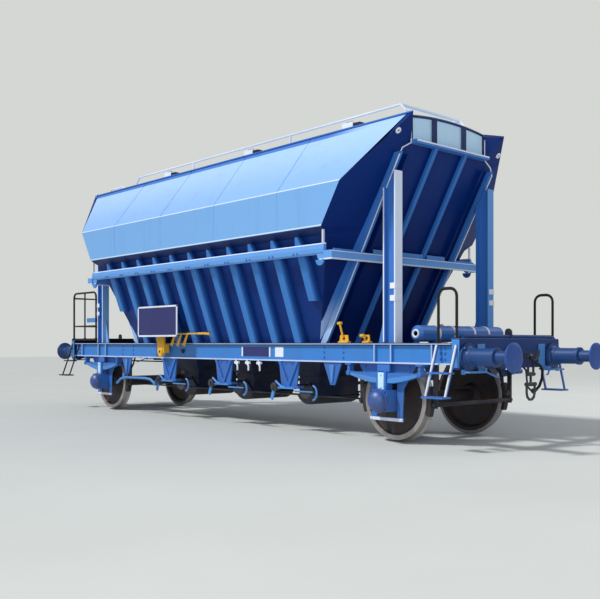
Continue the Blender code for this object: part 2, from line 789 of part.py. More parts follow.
def bay_hanger(x, side):
    """A tapering hanger with a V-shaped web and a foot that carries a gate's shaft."""
    outer = SOLE_OUTER - HANGER_SETBACK
    faces = (side * (outer - HANGER_LEAF), side * outer)
    head, foot = SOLE_BOTTOM + BITE, GATE_AXIS_Z + HANGER_FOOT
    first, last = x + HANGER_START, x + HANGER_END
    taper = HANGER_TAPER
    sheet = plate("xz", [(first, head), (last, head), (last - taper, foot), (first + taper, foot)], *faces)
    ribs = []
    centre = between(first, last, 0.5)
    for top in (first, last):
        lean = HANGER_RIB if top < centre else -HANGER_RIB
        rib = [(top, head), (top + lean, head), (centre + lean / 2, foot), (centre - lean / 2, foot)]
        ribs.append(plate("xz", rib, side * (outer - BITE), side * (outer + HANGER_LEAF)))
    bearing_half = GATE_SHAFT + HANGER_LEAF
    deep = (side * (outer - HANGER_DEPTH), side * (outer + HANGER_LEAF))
    sill = block((x - bearing_half, last), deep, (foot - HANGER_SILL, foot + BITE))
    cheek = plate(
        "xz",
        [(x - bearing_half, foot), (x - bearing_half, GATE_AXIS_Z),
         *arc((x, GATE_AXIS_Z), bearing_half, 180, 360, 6),
         (x + bearing_half, foot)],
        *faces,
    )
    shaft_place = (x, side * (outer - HANGER_LEAF / 2), GATE_AXIS_Z)
    hole = turned_bar(GATE_SHAFT + SHAFT_PLAY, HANGER_DEPTH + OVERRUN, shaft_place)
    return [sheet, *ribs, cut_mesh(cheek, hole), cut_mesh(sill, hole)]


def strut(x, side):
    """A triangular bracket under the sole bar."""
    outer = SOLE_OUTER - HANGER_SETBACK
    head = SOLE_BOTTOM + BITE
    tip = head - STRUT_DROP
    outline = [(x - STRUT_HALF, head), (x + STRUT_HALF, head), (x + STRUT_TIP, tip), (x - STRUT_TIP, tip)]
    return plate("xz", outline, side * (outer - HANGER_LEAF), side * outer)


def turned_bar(radius, length, place):
    """A round bar across the wagon."""
    profile = [(0, length), (radius, length), (radius, -length), (0, -length)]
    return turned(profile, SHAFT_STEPS, Matrix.Translation(place) @ Matrix.Rotation(math.pi / 2, 4, "X"))


def cut_mesh(mesh, cutter):
    """The mesh with a cutter taken out, as a plain mesh."""
    piece = helper(mesh)
    cut = piece.modifiers.new("cut", "BOOLEAN")
    tool = helper(cutter)
    cut.object = tool
    bpy.context.view_layer.update()
    result = baked(piece)
    bpy.data.objects.remove(tool)
    return result


def make_end_frames():
    """Headstock, draft sills and cross members of each end as one welded frame."""
    web_face = FRAME_END - SOLE_WEB
    inner_end = CROSS_INNER - CROSS_WIDTH / 2
    low, high = SOLE_BOTTOM - HEADSTOCK_FALL, SOLE_TOP + HEADSTOCK_RISE
    for name, end in ENDS.items():
        def bar(x, y, z):
            return block((end * x[0], end * x[1]), y, z)

        across = (-SOLE_OUTER, SOLE_OUTER)
        face = bar((web_face - BITE, FRAME_END), across, (low, high))
        adds = [
            bar((FRAME_END - HEADSTOCK_DEPTH, FRAME_END - BITE), across, (z, z + SOLE_LEAF))
            for z in (low, high - SOLE_LEAF)
        ]
        sill_z = (SOLE_TOP - CROSS_HEIGHT, SOLE_TOP)
        for side in SIDES.values():
            y = (side * DRAFT_WIDTH / 2, side * (DRAFT_WIDTH / 2 + DRAFT_SIDE))
            adds.append(bar((inner_end, web_face), y, sill_z))
        inside = (-SOLE_INNER + SEAM, SOLE_INNER - SEAM)
        for place in (CROSS_PLACE, CROSS_INNER):
            middle = (place - SOLE_WEB / 2, place + SOLE_WEB / 2)
            wide = (place - CROSS_WIDTH / 2, place + CROSS_WIDTH / 2)
            adds.append(bar(middle, inside, sill_z))
            for z in (sill_z[0], sill_z[1] - SOLE_LEAF):
                adds.append(bar(wide, inside, (z, z + SOLE_LEAF)))
        part(f"end_frame_{name}", MID_BLUE, face, adds)


def along(end, place):
    """Turns Z to point out of one end."""
    return Matrix.Translation(place) @ Matrix.Rotation(end * math.pi / 2, 4, "Y")


def make_buffers():
    """Sleeved buffers with slightly domed heads."""
    profile = [
        (0, BUFFER_REACH), (BUFFER_FLAT, BUFFER_REACH),
        (BUFFER_HEAD, BUFFER_REACH - BUFFER_DOME), (BUFFER_HEAD, BUFFER_REACH - BUFFER_DISC),
        (BUFFER_PLUNGER, BUFFER_REACH - 2 * BUFFER_DISC), (BUFFER_PLUNGER, BUFFER_SLEEVE_LENGTH),
        (BUFFER_SLEEVE, BUFFER_SLEEVE_LENGTH), (BUFFER_SLEEVE, 2 * BUFFER_BASE_LEAF),
        (BUFFER_BASE, BUFFER_BASE_LEAF), (BUFFER_BASE, SEAM), (0, SEAM),
    ]
    for end_name, end in ENDS.items():
        for side_name, side in SIDES.items():
            place = (end * FRAME_END, side * BUFFER_PLACE, BUFFER_Z)
            part(f"buffer_{end_name}_{side_name}", MID_BLUE, turned(profile, BUFFER_STEPS, along(end, place)))


def make_draw_gear():
    """Draw hook with its plate, and a screw coupling that hangs from it."""
    for name, end in ENDS.items():
        def at(x):
            return end * (FRAME_END + x)

        half = HOOK_LEAF / 2
        plate_half = HOOK_PLATE / 2
        plate_z = (HOOK_Z - plate_half, HOOK_Z + plate_half)
        base = block((at(SEAM), at(BUFFER_BASE_LEAF)), (-plate_half, plate_half), plate_z)
        throat = (HOOK_REACH - HOOK_THROAT * 2, HOOK_Z + HOOK_THROAT)
        hook = [(SEAM * 2, HOOK_Z - half), (SEAM * 2, HOOK_Z + half)]
        hook += [(throat[0] - HOOK_THROAT, HOOK_Z + half)]
        hook += arc(throat, HOOK_THROAT, 180, 360, 5)
        hook += [(HOOK_REACH - HOOK_THROAT, HOOK_Z + 2 * HOOK_THROAT), (HOOK_REACH, HOOK_Z + 2 * HOOK_THROAT)]
        hook += arc((HOOK_REACH - 2 * HOOK_THROAT, HOOK_Z + HOOK_THROAT / 2), 2 * HOOK_THROAT, 0, -90, 4)
        shape = plate("xz", [(at(x), z) for x, z in hook], -half, half)
        pin_x, pin_z = at(HOOK_REACH - 3 * HOOK_THROAT), HOOK_Z - half / 2
        pin = turned_bar(LINK_BAR, LINK_HALF + LINK_BAR, (pin_x, 0, pin_z))
        nut_z = pin_z - LINK_DROP
        links = [
            rod([(pin_x, side * LINK_HALF, pin_z), (pin_x, side * LINK_HALF, nut_z)], LINK_BAR)
            for side in SIDES.values()
        ]
        nut = turned_bar(LINK_NUT, LINK_HALF + LINK_BAR, (pin_x, 0, nut_z))
        screw = rod([(pin_x, 0, nut_z + LINK_BAR), (pin_x, 0, nut_z - SCREW_DROP)], LINK_BAR)
        trunnion = turned_bar(LINK_NUT, SHACKLE_HALF, (pin_x, 0, nut_z - SCREW_DROP))
        low = nut_z - SCREW_DROP
        bend = arc((0, low - SHACKLE_DROP), SHACKLE_HALF - LINK_BAR, 0, -180, 5)
        loop = [(pin_x, SHACKLE_HALF - LINK_BAR, low), *[(pin_x, y, z) for y, z in bend]]
        loop.append((pin_x, -SHACKLE_HALF + LINK_BAR, low))
        adds = [shape, pin, *links, nut, screw, trunnion, rod(loop, LINK_BAR)]
        part(f"draw_gear_{name}", BLACK, base, adds)


def wheelset_profile():
    """Half the wheelset's outline from one axle end to its middle, as (radius, distance)."""
    back, front = BACK_TO_BACK / 2, BACK_TO_BACK / 2 + WHEEL_WIDTH
    middle = (back + front) / 2
    flat = 1 / math.cos(math.pi / WHEEL_STEPS)
    tread, flange = WHEEL_RADIUS * flat, (WHEEL_RADIUS + FLANGE_DEPTH) * flat
    rim = WHEEL_RADIUS - RIM_DEPTH
    journal_out, journal_in = JOURNAL_MIDDLE + JOURNAL_LENGTH / 2, JOURNAL_MIDDLE - JOURNAL_LENGTH / 2
    hub_out, hub_in = middle + HUB_LENGTH / 2, middle - HUB_LENGTH / 2
    web_out, web_in = middle + WHEEL_WEB / 2, middle - WHEEL_WEB / 2
    return [
        (0, journal_out), (JOURNAL_RADIUS, journal_out), (JOURNAL_RADIUS, journal_in),
        (AXLE_RADIUS, journal_in), (AXLE_RADIUS, hub_out),
        (HUB_RADIUS, hub_out), (rim, web_out), (rim, front), (tread, front), (tread, back + FLANGE_WIDTH),
        (flange, back + FLANGE_WIDTH / 3), (tread, back), (rim, back), (rim, web_in),
        (HUB_RADIUS, hub_in), (AXLE_RADIUS, hub_in),
    ]


def make_wheelsets():
    half = wheelset_profile()
    profile = half + [(radius, -place) for radius, place in reversed(half)]
    turn = Matrix.Rotation(math.pi / 2, 4, "X") @ Matrix.Rotation(math.pi / WHEEL_STEPS, 4, "Z")
    for name, end in ENDS.items():
        place = (end * WHEEL_BASE / 2, 0, AXLE_Z)
        shape = turned(profile, WHEEL_STEPS, Matrix.Translation(place) @ turn)
        part(f"wheelset_{name}", STEEL, shape, pivot=place)


def make_axle_guards():
    """Guard plates with their tie bars, and the leaf springs on their axleboxes."""
    top = SOLE_BOTTOM - SEAM
    half = [(GUARD_TOP, top), (GUARD_WAIST, GUARD_WAIST_Z), (GUARD_LEG, GUARD_FOOT)]
    slot = [(GUARD_SLOT, GUARD_FOOT), (GUARD_SLOT, GUARD_SLOT_TOP)]
    outline = half + slot + [(-x, z) for x, z in reversed(half + slot)]
    for end_name, end in ENDS.items():
        x0 = end * WHEEL_BASE / 2
        for side_name, side in SIDES.items():
            y = (side * GUARD_PLACE, side * (GUARD_PLACE + GUARD_LEAF))
            guard = plate("xz", [(x0 + x, z) for x, z in outline], *y)
            tie_y = (side * (GUARD_PLACE - GUARD_LEAF / 2), side * (GUARD_PLACE + 1.5 * GUARD_LEAF))
            tie_x = (x0 - GUARD_LEG - BITE, x0 + GUARD_LEG + BITE)
            tie = block(tie_x, tie_y, (GUARD_FOOT - TIE_BAR, GUARD_FOOT + BITE))
            part(f"axle_guard_{end_name}_{side_name}", MID_BLUE, guard, [tie])
            make_spring(f"{end_name}_{side_name}", x0, side)


def make_spring(name, x0, side):
    """A stack of leaves held by a buckle on the axlebox, hung by shackles at its ends."""
    y = (side * (JOURNAL_MIDDLE - LEAF_WIDTH / 2), side * (JOURNAL_MIDDLE + LEAF_WIDTH / 2))
    leaves = []
    for i in range(LEAF_COUNT):
        reach = between(SPRING_HALF, BUCKLE_HALF * 2, i / LEAF_COUNT)
        z = SPRING_TOP - i * LEAF_PITCH
        leaves.append(block((x0 - reach, x0 + reach), y, (z - LEAF_PITCH - WELD * 50, z)))
    box_top = AXLE_Z + BOX_HALF_HEIGHT
    wide = (y[0] - side * BITE, y[1] + side * BITE)
    buckle = block((x0 - BUCKLE_HALF, x0 + BUCKLE_HALF), wide, (box_top - BITE, SPRING_TOP + BITE))
    body_y = (side * (GUARD_PLACE - GUARD_LEAF), side * BOX_FACE)
    body = block((x0 - BOX_HALF_WIDTH, x0 + BOX_HALF_WIDTH), body_y, (AXLE_Z - BOX_HALF_HEIGHT, box_top))
    cover = [(0, COVER_DEPTH)] + [
        (radius, depth) for depth, radius in arc((0, 0), COVER_RADIUS, 25, 90, 3)
    ]
    cover = [(radius, depth * COVER_DEPTH / COVER_RADIUS) for radius, depth in cover[1:]]
    cover = [(0, cover[0][1]), *cover, (COVER_RADIUS, -BITE), (0, -BITE)]
    face = Matrix.Translation((x0, side * BOX_FACE, AXLE_Z)) @ Matrix.Rotation(-side * math.pi / 2, 4, "X")
    dome = turned(cover, SHAFT_STEPS, face)
    shackles = []
    for end in (-1, 1):
        x = x0 + end * (SPRING_HALF - SHACKLE_LEAF)
        span = (x - SHACKLE_LEAF, x + SHACKLE_LEAF)
        narrow = (y[0] + side * BITE, y[1] - side * BITE)
        shackles.append(block(span, narrow, (SPRING_TOP - LEAF_PITCH, SOLE_BOTTOM - SEAM)))
    bore = JOURNAL_RADIUS / math.cos(math.pi / SHAFT_STEPS) + JOURNAL_PLAY
    deep = JOURNAL_MIDDLE + JOURNAL_LENGTH / 2 + RUNNING
    middle = (deep + GUARD_PLACE - OVERRUN) / 2
    hole = turned_bar(bore, deep - middle, (x0, side * middle, AXLE_Z))
    part(f"spring_box_{name}", MID_BLUE, body, [*leaves, buckle, dome, *shackles], [hole])


def make_bays():
    """Funnels under the hopper, each closed by a sector gate on a shaft across the wagon."""
    edges = [-BASE_HALF_LENGTH + BASE_CORNER, -BAY_EDGE, BAY_EDGE, BASE_HALF_LENGTH - BASE_CORNER]
    top_width = BASE_HALF_WIDTH - BAY_WALL
    lip_radius = GATE_RADIUS - GATE_SHEET - RUNNING
    for i, x in enumerate(BAYS):
        start, stop = edges[i] + SEAM / 2, edges[i + 1] - SEAM / 2

        def ring(z, x_low, x_high, width, inset=0):
            xs, ys = (x_low + inset, x_high - inset), (-width + inset, width - inset)
            return [(xs[0], ys[0], z), (xs[1], ys[0], z), (xs[1], ys[1], z), (xs[0], ys[1], z)]

        bottom = GATE_AXIS_Z - GATE_RADIUS
        throat = (x - THROAT_HALF_LENGTH, x + THROAT_HALF_LENGTH, THROAT_HALF_WIDTH)
        mouth = (start, stop, top_width)
        outer = loft([ring(SOLE_TOP, *mouth), ring(THROAT_TOP, *throat), ring(bottom, *throat)])
        inner = loft([
            ring(SOLE_TOP + OVERRUN, *mouth, BAY_WALL),
            ring(SOLE_TOP, *mouth, BAY_WALL),
            ring(THROAT_TOP, *throat, BAY_WALL),
            ring(bottom - OVERRUN, *throat, BAY_WALL),
        ])
        below = block(
            (x - GATE_RADIUS - OVERRUN, x + GATE_RADIUS + OVERRUN),
            (-top_width, top_width),
            (bottom - OVERRUN, GATE_AXIS_Z - GATE_SHAFT),
        )
        round_lip = cut_mesh(below, turned_bar(lip_radius, top_width + OVERRUN, (x, 0, GATE_AXIS_Z)))
        part(f"bay_funnel_{i + 1}", MID_BLUE, outer, cuts=[inner, round_lip])
        make_gate(i, x)


def make_gate(i, x):
    """A curved sheet between two sector sides, with stub shafts out to the hangers."""
    pivot = (x, GATE_AXIS_Z)
    low, high = 270 - GATE_ANGLE, 270 + GATE_ANGLE
    outer = arc(pivot, GATE_RADIUS, low, high, GATE_STEPS)
    inner = arc(pivot, GATE_RADIUS - GATE_SHEET, high, low, GATE_STEPS)
    half = THROAT_HALF_WIDTH + GATE_ROOM
    sheet = plate("xz", outer + inner, -half - BITE, half + BITE)
    side_line = arc(pivot, GATE_RADIUS - GATE_SHEET / 2, low, high, GATE_STEPS)
    hub = arc(pivot, GATE_HUB, high + 60, low - 60 + 360, 6)
    adds = []
    hanger = SOLE_OUTER - HANGER_SETBACK + HANGER_LEAF
    for side in SIDES.values():
        adds.append(plate("xz", side_line + hub, side * half, side * (half + GATE_SIDE)))
        middle = (half + hanger) / 2
        adds.append(turned_bar(GATE_SHAFT, hanger - middle, (x, side * middle, GATE_AXIS_Z)))
    part(f"bay_gate_{i + 1}", STEEL, sheet, adds, pivot=(x, 0, GATE_AXIS_Z))


def make_lids():
    """Hatch lids that lap their collars and turn on pins beside them."""
    rim = CROWN_Z + CROWN_RISE + HATCH_RISE
    for i, x in enumerate(HATCHES):
        reach = (x - HATCH_HALF_LENGTH - LID_LAP, x + HATCH_HALF_LENGTH + LID_LAP)
        width = HATCH_HALF_WIDTH + LID_LAP
        top = (rim + SEAM, rim + LID_SHEET + LID_RISE)
        lid = block(reach, (-width, width), (rim - LID_LIP, top[1]))
        inner = [(low + LID_SHEET, high - LID_SHEET) for low, high in (reach, (-width, width))]
        pocket = block(*inner, (rim - LID_LIP - OVERRUN, top[0]))
        pin_y = width + LID_PIN_PLACE
        pin_z = rim + LID_PIN
        ears = []
        for end in (-1, 1):
            middle = x + end * LID_EAR_PLACE
            outline = [(width - BITE, top[1] - BITE), (width - BITE, rim)]
            outline += arc((pin_y, pin_z), 2 * LID_PIN, -90, 90, 6)
            ears.append(plate("yz", outline, middle - LID_EAR / 2, middle + LID_EAR / 2))
        pin = turned(
            [(0, LID_EAR_PLACE * 2), (LID_PIN + JOURNAL_PLAY, LID_EAR_PLACE * 2),
             (LID_PIN + JOURNAL_PLAY, -LID_EAR_PLACE * 2), (0, -LID_EAR_PLACE * 2)],
            12, along(1, (x, pin_y, pin_z)),
        )
        part(f"hatch_lid_{i + 1}", BLACK, lid, ears, [pocket, pin], pivot=(x, pin_y, pin_z))


def hatch_pins(x):
    """Lugs on the crown that carry a lid's hinge pin."""
    rim = CROWN_Z + CROWN_RISE + HATCH_RISE
    pin_y = HATCH_HALF_WIDTH + LID_LAP + LID_PIN_PLACE
    pin_z = rim + LID_PIN
    foot = CROWN_Z + CROWN_RISE - HATCH_SINK / 2
    pieces = []
    for end in (-1, 1):
        inner = x + end * (LID_EAR_PLACE - LID_EAR / 2 - SEAM * 4)
        outline = [(pin_y + 1.5 * LID_PIN, foot), (pin_y - 1.5 * LID_PIN, foot)]
        outline += reversed(arc((pin_y, pin_z), 1.5 * LID_PIN, 0, 180, 6))
        pieces.append(plate("yz", outline, inner, inner - end * LID_EAR))
        bar = LID_EAR_PLACE + LID_EAR
        start = inner - end * LID_EAR / 2
        pieces.append(rod([(start, pin_y, pin_z), (x + end * bar, pin_y, pin_z)], LID_PIN))
    return pieces


def make_air_tank():
    """The air tank across the front end, on two saddles of its own."""
    end = ENDS["front"]
    axis_z = SOLE_TOP + TANK_LIFT + TANK_RADIUS
    cap = [(0, TANK_HALF), (TANK_RADIUS - TANK_ROUND, TANK_HALF), (TANK_RADIUS, TANK_HALF - TANK_ROUND)]
    profile = cap + [(radius, -place) for radius, place in reversed(cap)]
    place = Matrix.Translation((end * CROSS_PLACE, 0, axis_z)) @ Matrix.Rotation(math.pi / 2, 4, "X")
    tank = turned(profile, BUFFER_STEPS, place)
    saddles = []
    for side in SIDES.values():
        x = end * CROSS_PLACE
        half = TANK_RADIUS - TANK_ROUND
        y = (side * (TANK_SADDLE - TANK_ROUND), side * (TANK_SADDLE + TANK_ROUND))
        saddles.append(block((x - half, x + half), y, (SOLE_TOP + SEAM, axis_z - TANK_RADIUS / 2)))
    part("air_tank", MID_BLUE, tank, saddles)


def make_platform():
    """The rear platform with its railing and corner ladders."""
    x_out = FRAME_END - HEADSTOCK_DEPTH / 2
    x_in = POST_PLACE + POST_WIDTH / 2 + RAIL_BAR * 2
    floor = SOLE_TOP + HEADSTOCK_RISE + SEAM
    deck = block((-FRAME_END, -x_in + RAIL_BAR), (-SOLE_OUTER, SOLE_OUTER), (floor, floor + DECK_LEAF))
    legs = []
    y_rail = SOLE_OUTER - RAIL_BAR
    top = floor + RAIL_HEIGHT
    middle = floor + RAIL_HEIGHT * RAIL_MIDDLE_SHARE
    start = floor + DECK_LEAF - BITE
    for side in SIDES.values():
        y = side * y_rail
        hoop = [(-x_out, y, start), (-x_out, y, top - RAIL_BEND)]
        bend = arc((-x_out + RAIL_BEND, top - RAIL_BEND), RAIL_BEND, 180, 90, 4)
        hoop += [(x, y, z) for x, z in bend[1:]]
        hoop += [(-x_in - RAIL_BEND, y, top)]
        hoop += [(x, y, z) for x, z in arc((-x_in - RAIL_BEND, top - RAIL_BEND), RAIL_BEND, 90, 0, 4)]
        hoop += [(-x_in, y, start)]
        legs.append(rod(hoop, RAIL_BAR))
        legs.append(rod([(-x_out - BITE, y, middle), (-x_in + BITE, y, middle)], RAIL_INNER_BAR))
        half_way = -(x_out + x_in) / 2
        legs.append(rod([(half_way, y, start), (half_way, y, top)], RAIL_INNER_BAR))
        inner = side * PLATFORM_GATE
        bar = [(-x_out, y, top - RAIL_BEND), (-x_out, inner, top - RAIL_BEND), (-x_out, inner, start)]
        legs.append(rod(bar, RAIL_BAR))
        legs.append(rod([(-x_out, y, middle), (-x_out, inner, middle)], RAIL_INNER_BAR))
    part("rear_platform", BLACK, deck, legs)
    for name, side in SIDES.items():
        make_ladder(f"rear_steps_{name}", -1, side, BLACK)


def make_ladder(name, end, side, material):
    """Side steps that lean outwards below one corner of the frame."""
    near, far = STEP_START, STEP_START + STEP_WIDTH
    top = (SOLE_OUTER + SEAM, SOLE_TOP - SOLE_LEAF)
    bottom = (SOLE_OUTER + STEP_LEAN, STEP_FOOT)
    stringers = []
    for x in (near, far):
        outline = [top, (top[0] + STEP_LEAF, top[1]), (top[0] + STEP_LEAF, top[1] - STEP_HEEL)]
        outline += [(bottom[0] + STEP_LEAF, bottom[1]), bottom, (top[0], top[1] - STEP_HEEL)]
        outline = [(y * side, z) for y, z in outline]
        stringers.append(plate("yz", outline, end * x, end * (x + STEP_LEAF)))
    treads = []
    for i in range(STEP_COUNT):
        share = i / STEP_COUNT
        y = between(bottom[0], top[0], share)
        z = between(bottom[1], top[1] - STEP_HEEL, share)
        span = (end * near, end * (far + STEP_LEAF))
        tread = (side * (y - TREAD_DEPTH * (1 - i / STEP_COUNT) / 2), side * (y + TREAD_DEPTH / 2))
        treads.append(block(span, tread, (z, z + STEP_LEAF)))
    part(name, material, stringers[0], stringers[1:] + treads)


def make_front_corners():
    """Steps and hand hoops at the front corners."""
    start = SOLE_TOP + HEADSTOCK_RISE + SEAM
    for name, side in SIDES.items():
        make_ladder(f"front_steps_{name}", 1, side, MID_BLUE)
        y = side * (SOLE_OUTER - RAIL_BAR * 2)
        x_out = FRAME_END - HEADSTOCK_DEPTH / 2
        half = HOOP_WIDTH - RAIL_BEND
        line = [(x_out, start), (x_out, start + HOOP_HEIGHT - RAIL_BEND)]
        line += arc((x_out - RAIL_BEND, start + HOOP_HEIGHT - RAIL_BEND), RAIL_BEND, 0, 90, 4)[1:]
        line += arc((x_out - half, start + HOOP_HEIGHT - RAIL_BEND), RAIL_BEND, 90, 180, 4)
        line += [(x_out - HOOP_WIDTH, SOLE_TOP + SEAM)]
        hoop = rod([(x, y, z) for x, z in line], RAIL_BAR)
        part(f"hand_hoop_{name}", BLACK, hoop)


def make_roof_rail():
    """Hand rails along the roof with their posts, joined across the front end, over a walkway."""
    foot = crown_height(ROOF_RAIL_PLACE - ROOF_BAR) + SEAM
    top = ROOF_RAIL_TOP
    start, stop = ROOF_RAIL_START, ROOF_RAIL_STOP
    rails = []
    for side in SIDES.values():
        y = side * ROOF_RAIL_PLACE
        line = [(start, y, foot), (start, y, top - RAIL_BEND), (start + RAIL_BEND, y, top)]
        line += [(stop - RAIL_BEND, y, top), (stop, y, top - RAIL_BEND), (stop, y, foot)]
        rails.append(rod(line, ROOF_BAR))
        for share in ROOF_POST_SHARES:
            x = between(start, stop, share)
            rails.append(rod([(x, y, foot), (x, y, top)], ROOF_POST_BAR))
    cross_x = stop - RAIL_BEND
    cross = rod([(cross_x, -ROOF_RAIL_PLACE, top), (cross_x, ROOF_RAIL_PLACE, top)], ROOF_BAR)
    part("roof_rail", WHITE, rails[0], rails[1:] + [cross])


def make_end_ladder():
    """A ladder from the frame up the rear slope, bent over the end of the roof as hand grabs."""
    stringers, rungs = [], []
    head = END_TOP_Z + LADDER_BAR * 2
    foot = end_x(SOLE_TOP) + LADDER_OFF
    for y in LADDER_SIDES:
        line = [(foot, SOLE_TOP + SEAM), (foot, SOLE_TOP + RAIL_BEND)]
        line.append((end_x(head) + LADDER_OFF, head))
        line += [
            (EAR_HALF_LENGTH + LADDER_BAR * 2, LADDER_TOP - RAIL_BEND),
            (EAR_HALF_LENGTH - RAIL_BEND, LADDER_TOP),
        ]
        line += [(LADDER_END + RAIL_BEND, LADDER_TOP), (LADDER_END, LADDER_TOP - RAIL_BEND / 2)]
        line.append((LADDER_END, crown_height(abs(y) - LADDER_BAR) + SEAM))
        stringers.append(rod([(-x, y, z) for x, z in line], LADDER_BAR))
    for i in range(1, LADDER_RUNGS + 1):
        share = i / (LADDER_RUNGS + 1)
        z = between(SOLE_TOP + RAIL_BEND, head, share)
        x = -between(foot, end_x(head) + LADDER_OFF, share)
        rungs.append(rod([(x, y, z) for y in LADDER_SIDES], LADDER_RUNG_BAR))
    part("end_ladder", BLACK, stringers[0], stringers[1:] + rungs)


def crown_height(y):
    """The crown's outer surface at a distance from the middle."""
    radius = (CROWN_HALF_WIDTH**2 + CROWN_RISE**2) / (2 * CROWN_RISE)
    return CROWN_Z + CROWN_RISE - radius + math.sqrt(radius**2 - y**2) + CROWN_SHEET


def make_lever_stands():
    """The operating levers of the bay gear, on a bracket at each sole bar's face."""
    for name, side in SIDES.items():
        near, far = SOLE_OUTER + SEAM, SOLE_OUTER + LEVER_REACH
        bracket_x = (LEVER_START, LEVER_START + LEVER_BRACKET)
        low = SOLE_TOP - LEVER_DROP
        base = block(bracket_x, (side * near, side * far), (low, SOLE_TOP - SOLE_LEAF))
        arm = (side * (far - LEVER_BAR * 2), side * far)
        pieces = [block(bracket_x, arm, (low, SOLE_TOP + LEVER_RISE))]
        y = side * (far - LEVER_BAR)
        z = SOLE_TOP + LEVER_RISE - LEVER_BAR
        pieces.append(rod([(LEVER_START, y, z), (LEVER_START + LEVER_LENGTH, y, z)], LEVER_BAR))
        pieces.append(turned_bar(LEVER_BRACKET / 3, LEVER_BAR * 2, (LEVER_START + LEVER_BRACKET / 2, y, low)))
        for share in LEVER_SHARES:
            x = LEVER_START + LEVER_LENGTH * share
            foot = (x - LEVER_BRACKET / 2, y, SOLE_TOP - LEVER_DROP / 3)
            pieces.append(rod([(x, y, z), foot], LEVER_PRONG_BAR))
        part(f"lever_stand_{name}", YELLOW, base, pieces)


clear_scene()
WAGON = make_collection("covered hopper wagon")
HELPERS = make_collection("cutters")
MID_BLUE = paint("mid blue paint", (0.10, 0.27, 0.62))
LIGHT_BLUE = paint("light blue paint", (0.30, 0.52, 0.85))
SKY_BLUE = paint("sky blue paint", (0.45, 0.66, 0.92))
NAVY = paint("navy paint", (0.02, 0.05, 0.22))
WHITE = paint("white paint", (0.85, 0.87, 0.90))
BLACK = paint("black paint", (0.02, 0.02, 0.025))
YELLOW = paint("yellow paint", (0.85, 0.60, 0.05))
STEEL = paint("worn steel", (0.30, 0.28, 0.26), 0.45, 0.8)
make_hopper()
make_waist()
make_posts()
make_sole_bars()
make_end_frames()
make_buffers()
make_draw_gear()
make_wheelsets()
make_axle_guards()
make_bays()
make_lids()
make_air_tank()
make_platform()
make_front_corners()
make_roof_rail()
make_end_ladder()
make_lever_stands()
for plan in PLAN:
    assemble(*plan)
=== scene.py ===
"""Looks of the covered hopper wagon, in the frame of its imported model.

X runs towards the front end, Y to the left side, Z up. All sizes are in metres.
"""

import math

import bmesh
import bpy
from mathutils import Matrix, Vector


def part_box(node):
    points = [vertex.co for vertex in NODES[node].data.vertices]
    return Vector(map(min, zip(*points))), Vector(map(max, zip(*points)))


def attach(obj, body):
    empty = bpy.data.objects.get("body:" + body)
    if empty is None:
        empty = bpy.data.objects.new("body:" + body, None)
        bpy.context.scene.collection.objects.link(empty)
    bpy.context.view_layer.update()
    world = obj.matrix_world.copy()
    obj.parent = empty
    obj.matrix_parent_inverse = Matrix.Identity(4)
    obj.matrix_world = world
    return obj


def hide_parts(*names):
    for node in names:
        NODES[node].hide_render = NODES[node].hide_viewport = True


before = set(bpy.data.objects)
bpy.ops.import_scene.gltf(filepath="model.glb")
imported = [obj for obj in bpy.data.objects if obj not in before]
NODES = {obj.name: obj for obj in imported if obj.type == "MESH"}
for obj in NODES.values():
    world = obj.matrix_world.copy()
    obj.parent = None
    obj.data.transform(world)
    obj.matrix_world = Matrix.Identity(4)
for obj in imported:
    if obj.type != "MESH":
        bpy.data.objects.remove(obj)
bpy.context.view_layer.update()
SIDES = (1, -1)
ENDS = (1, -1)
SIDE_NAMES = {-1: "right", 1: "left"}
END_NAMES = {1: "front", -1: "rear"}

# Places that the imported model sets
WHEEL_PLACE = 3.5
AXLE_Z = 0.53
SOLE_OUTER = 1.03
SOLE_TOP = 1.23
FRAME_END = 4.65
HEADSTOCK_TOP = 1.28
DECK_TOP = 1.31
BUFFER_Y = 0.875
BUFFER_Z = 1.07
HOOK_Z = 1.08
HATCHES = (-2.3, 0.0, 2.3)
BAYS = (-1.49, 0.0, 1.49)
SHAFT_Z = 0.62
HANGER_FACE = 1.01
POST_X = 3.58
POST_HALF = 0.10
TANK_PLACE = (3.87, 0, 1.344)
WAIST_LOW, WAIST_HIGH = (corner.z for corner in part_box("waist_rail_right"))
WAIST_MIDDLE = (WAIST_LOW + WAIST_HIGH) / 2
WAIST_HALF = (WAIST_HIGH - WAIST_LOW) / 2

# The hopper: half lengths and half widths at the levels where its sheets fold
BASE_X = 2.318
END_TOP_X = 3.70
END_TOP_Z = 3.70
END_GRADE = (END_TOP_X - BASE_X) / (END_TOP_Z - SOLE_TOP)
BASE_Y = 0.928
SLOPE_TOP_Y = 1.40
SLOPE_TOP_Z = 2.58
SLOPE_GRADE = (SLOPE_TOP_Y - BASE_Y) / (SLOPE_TOP_Z - SOLE_TOP)
PANEL_Y = 1.536
PANEL_LOW_Z = 2.70
SHOULDER_Z = 3.20
EAVES_Z = 3.92
CROWN_TOP = 4.08
CROWN_RADIUS = 5.446


def linear(*levels):
    """A colour given in display levels from 0 to 255, as scene-linear values."""
    values = []
    for level in levels:
        share = level / 255
        values.append(share / 12.92 if share <= 0.04045 else ((share + 0.055) / 1.055) ** 2.4)
    return tuple(values)


def end_x(z):
    """Half length of the hopper where its ends slope."""
    return END_TOP_X - END_GRADE * (END_TOP_Z - z)


def crown_z(y):
    """Top of the arched crown."""
    return CROWN_TOP - CROWN_RADIUS + math.sqrt(CROWN_RADIUS**2 - y**2)


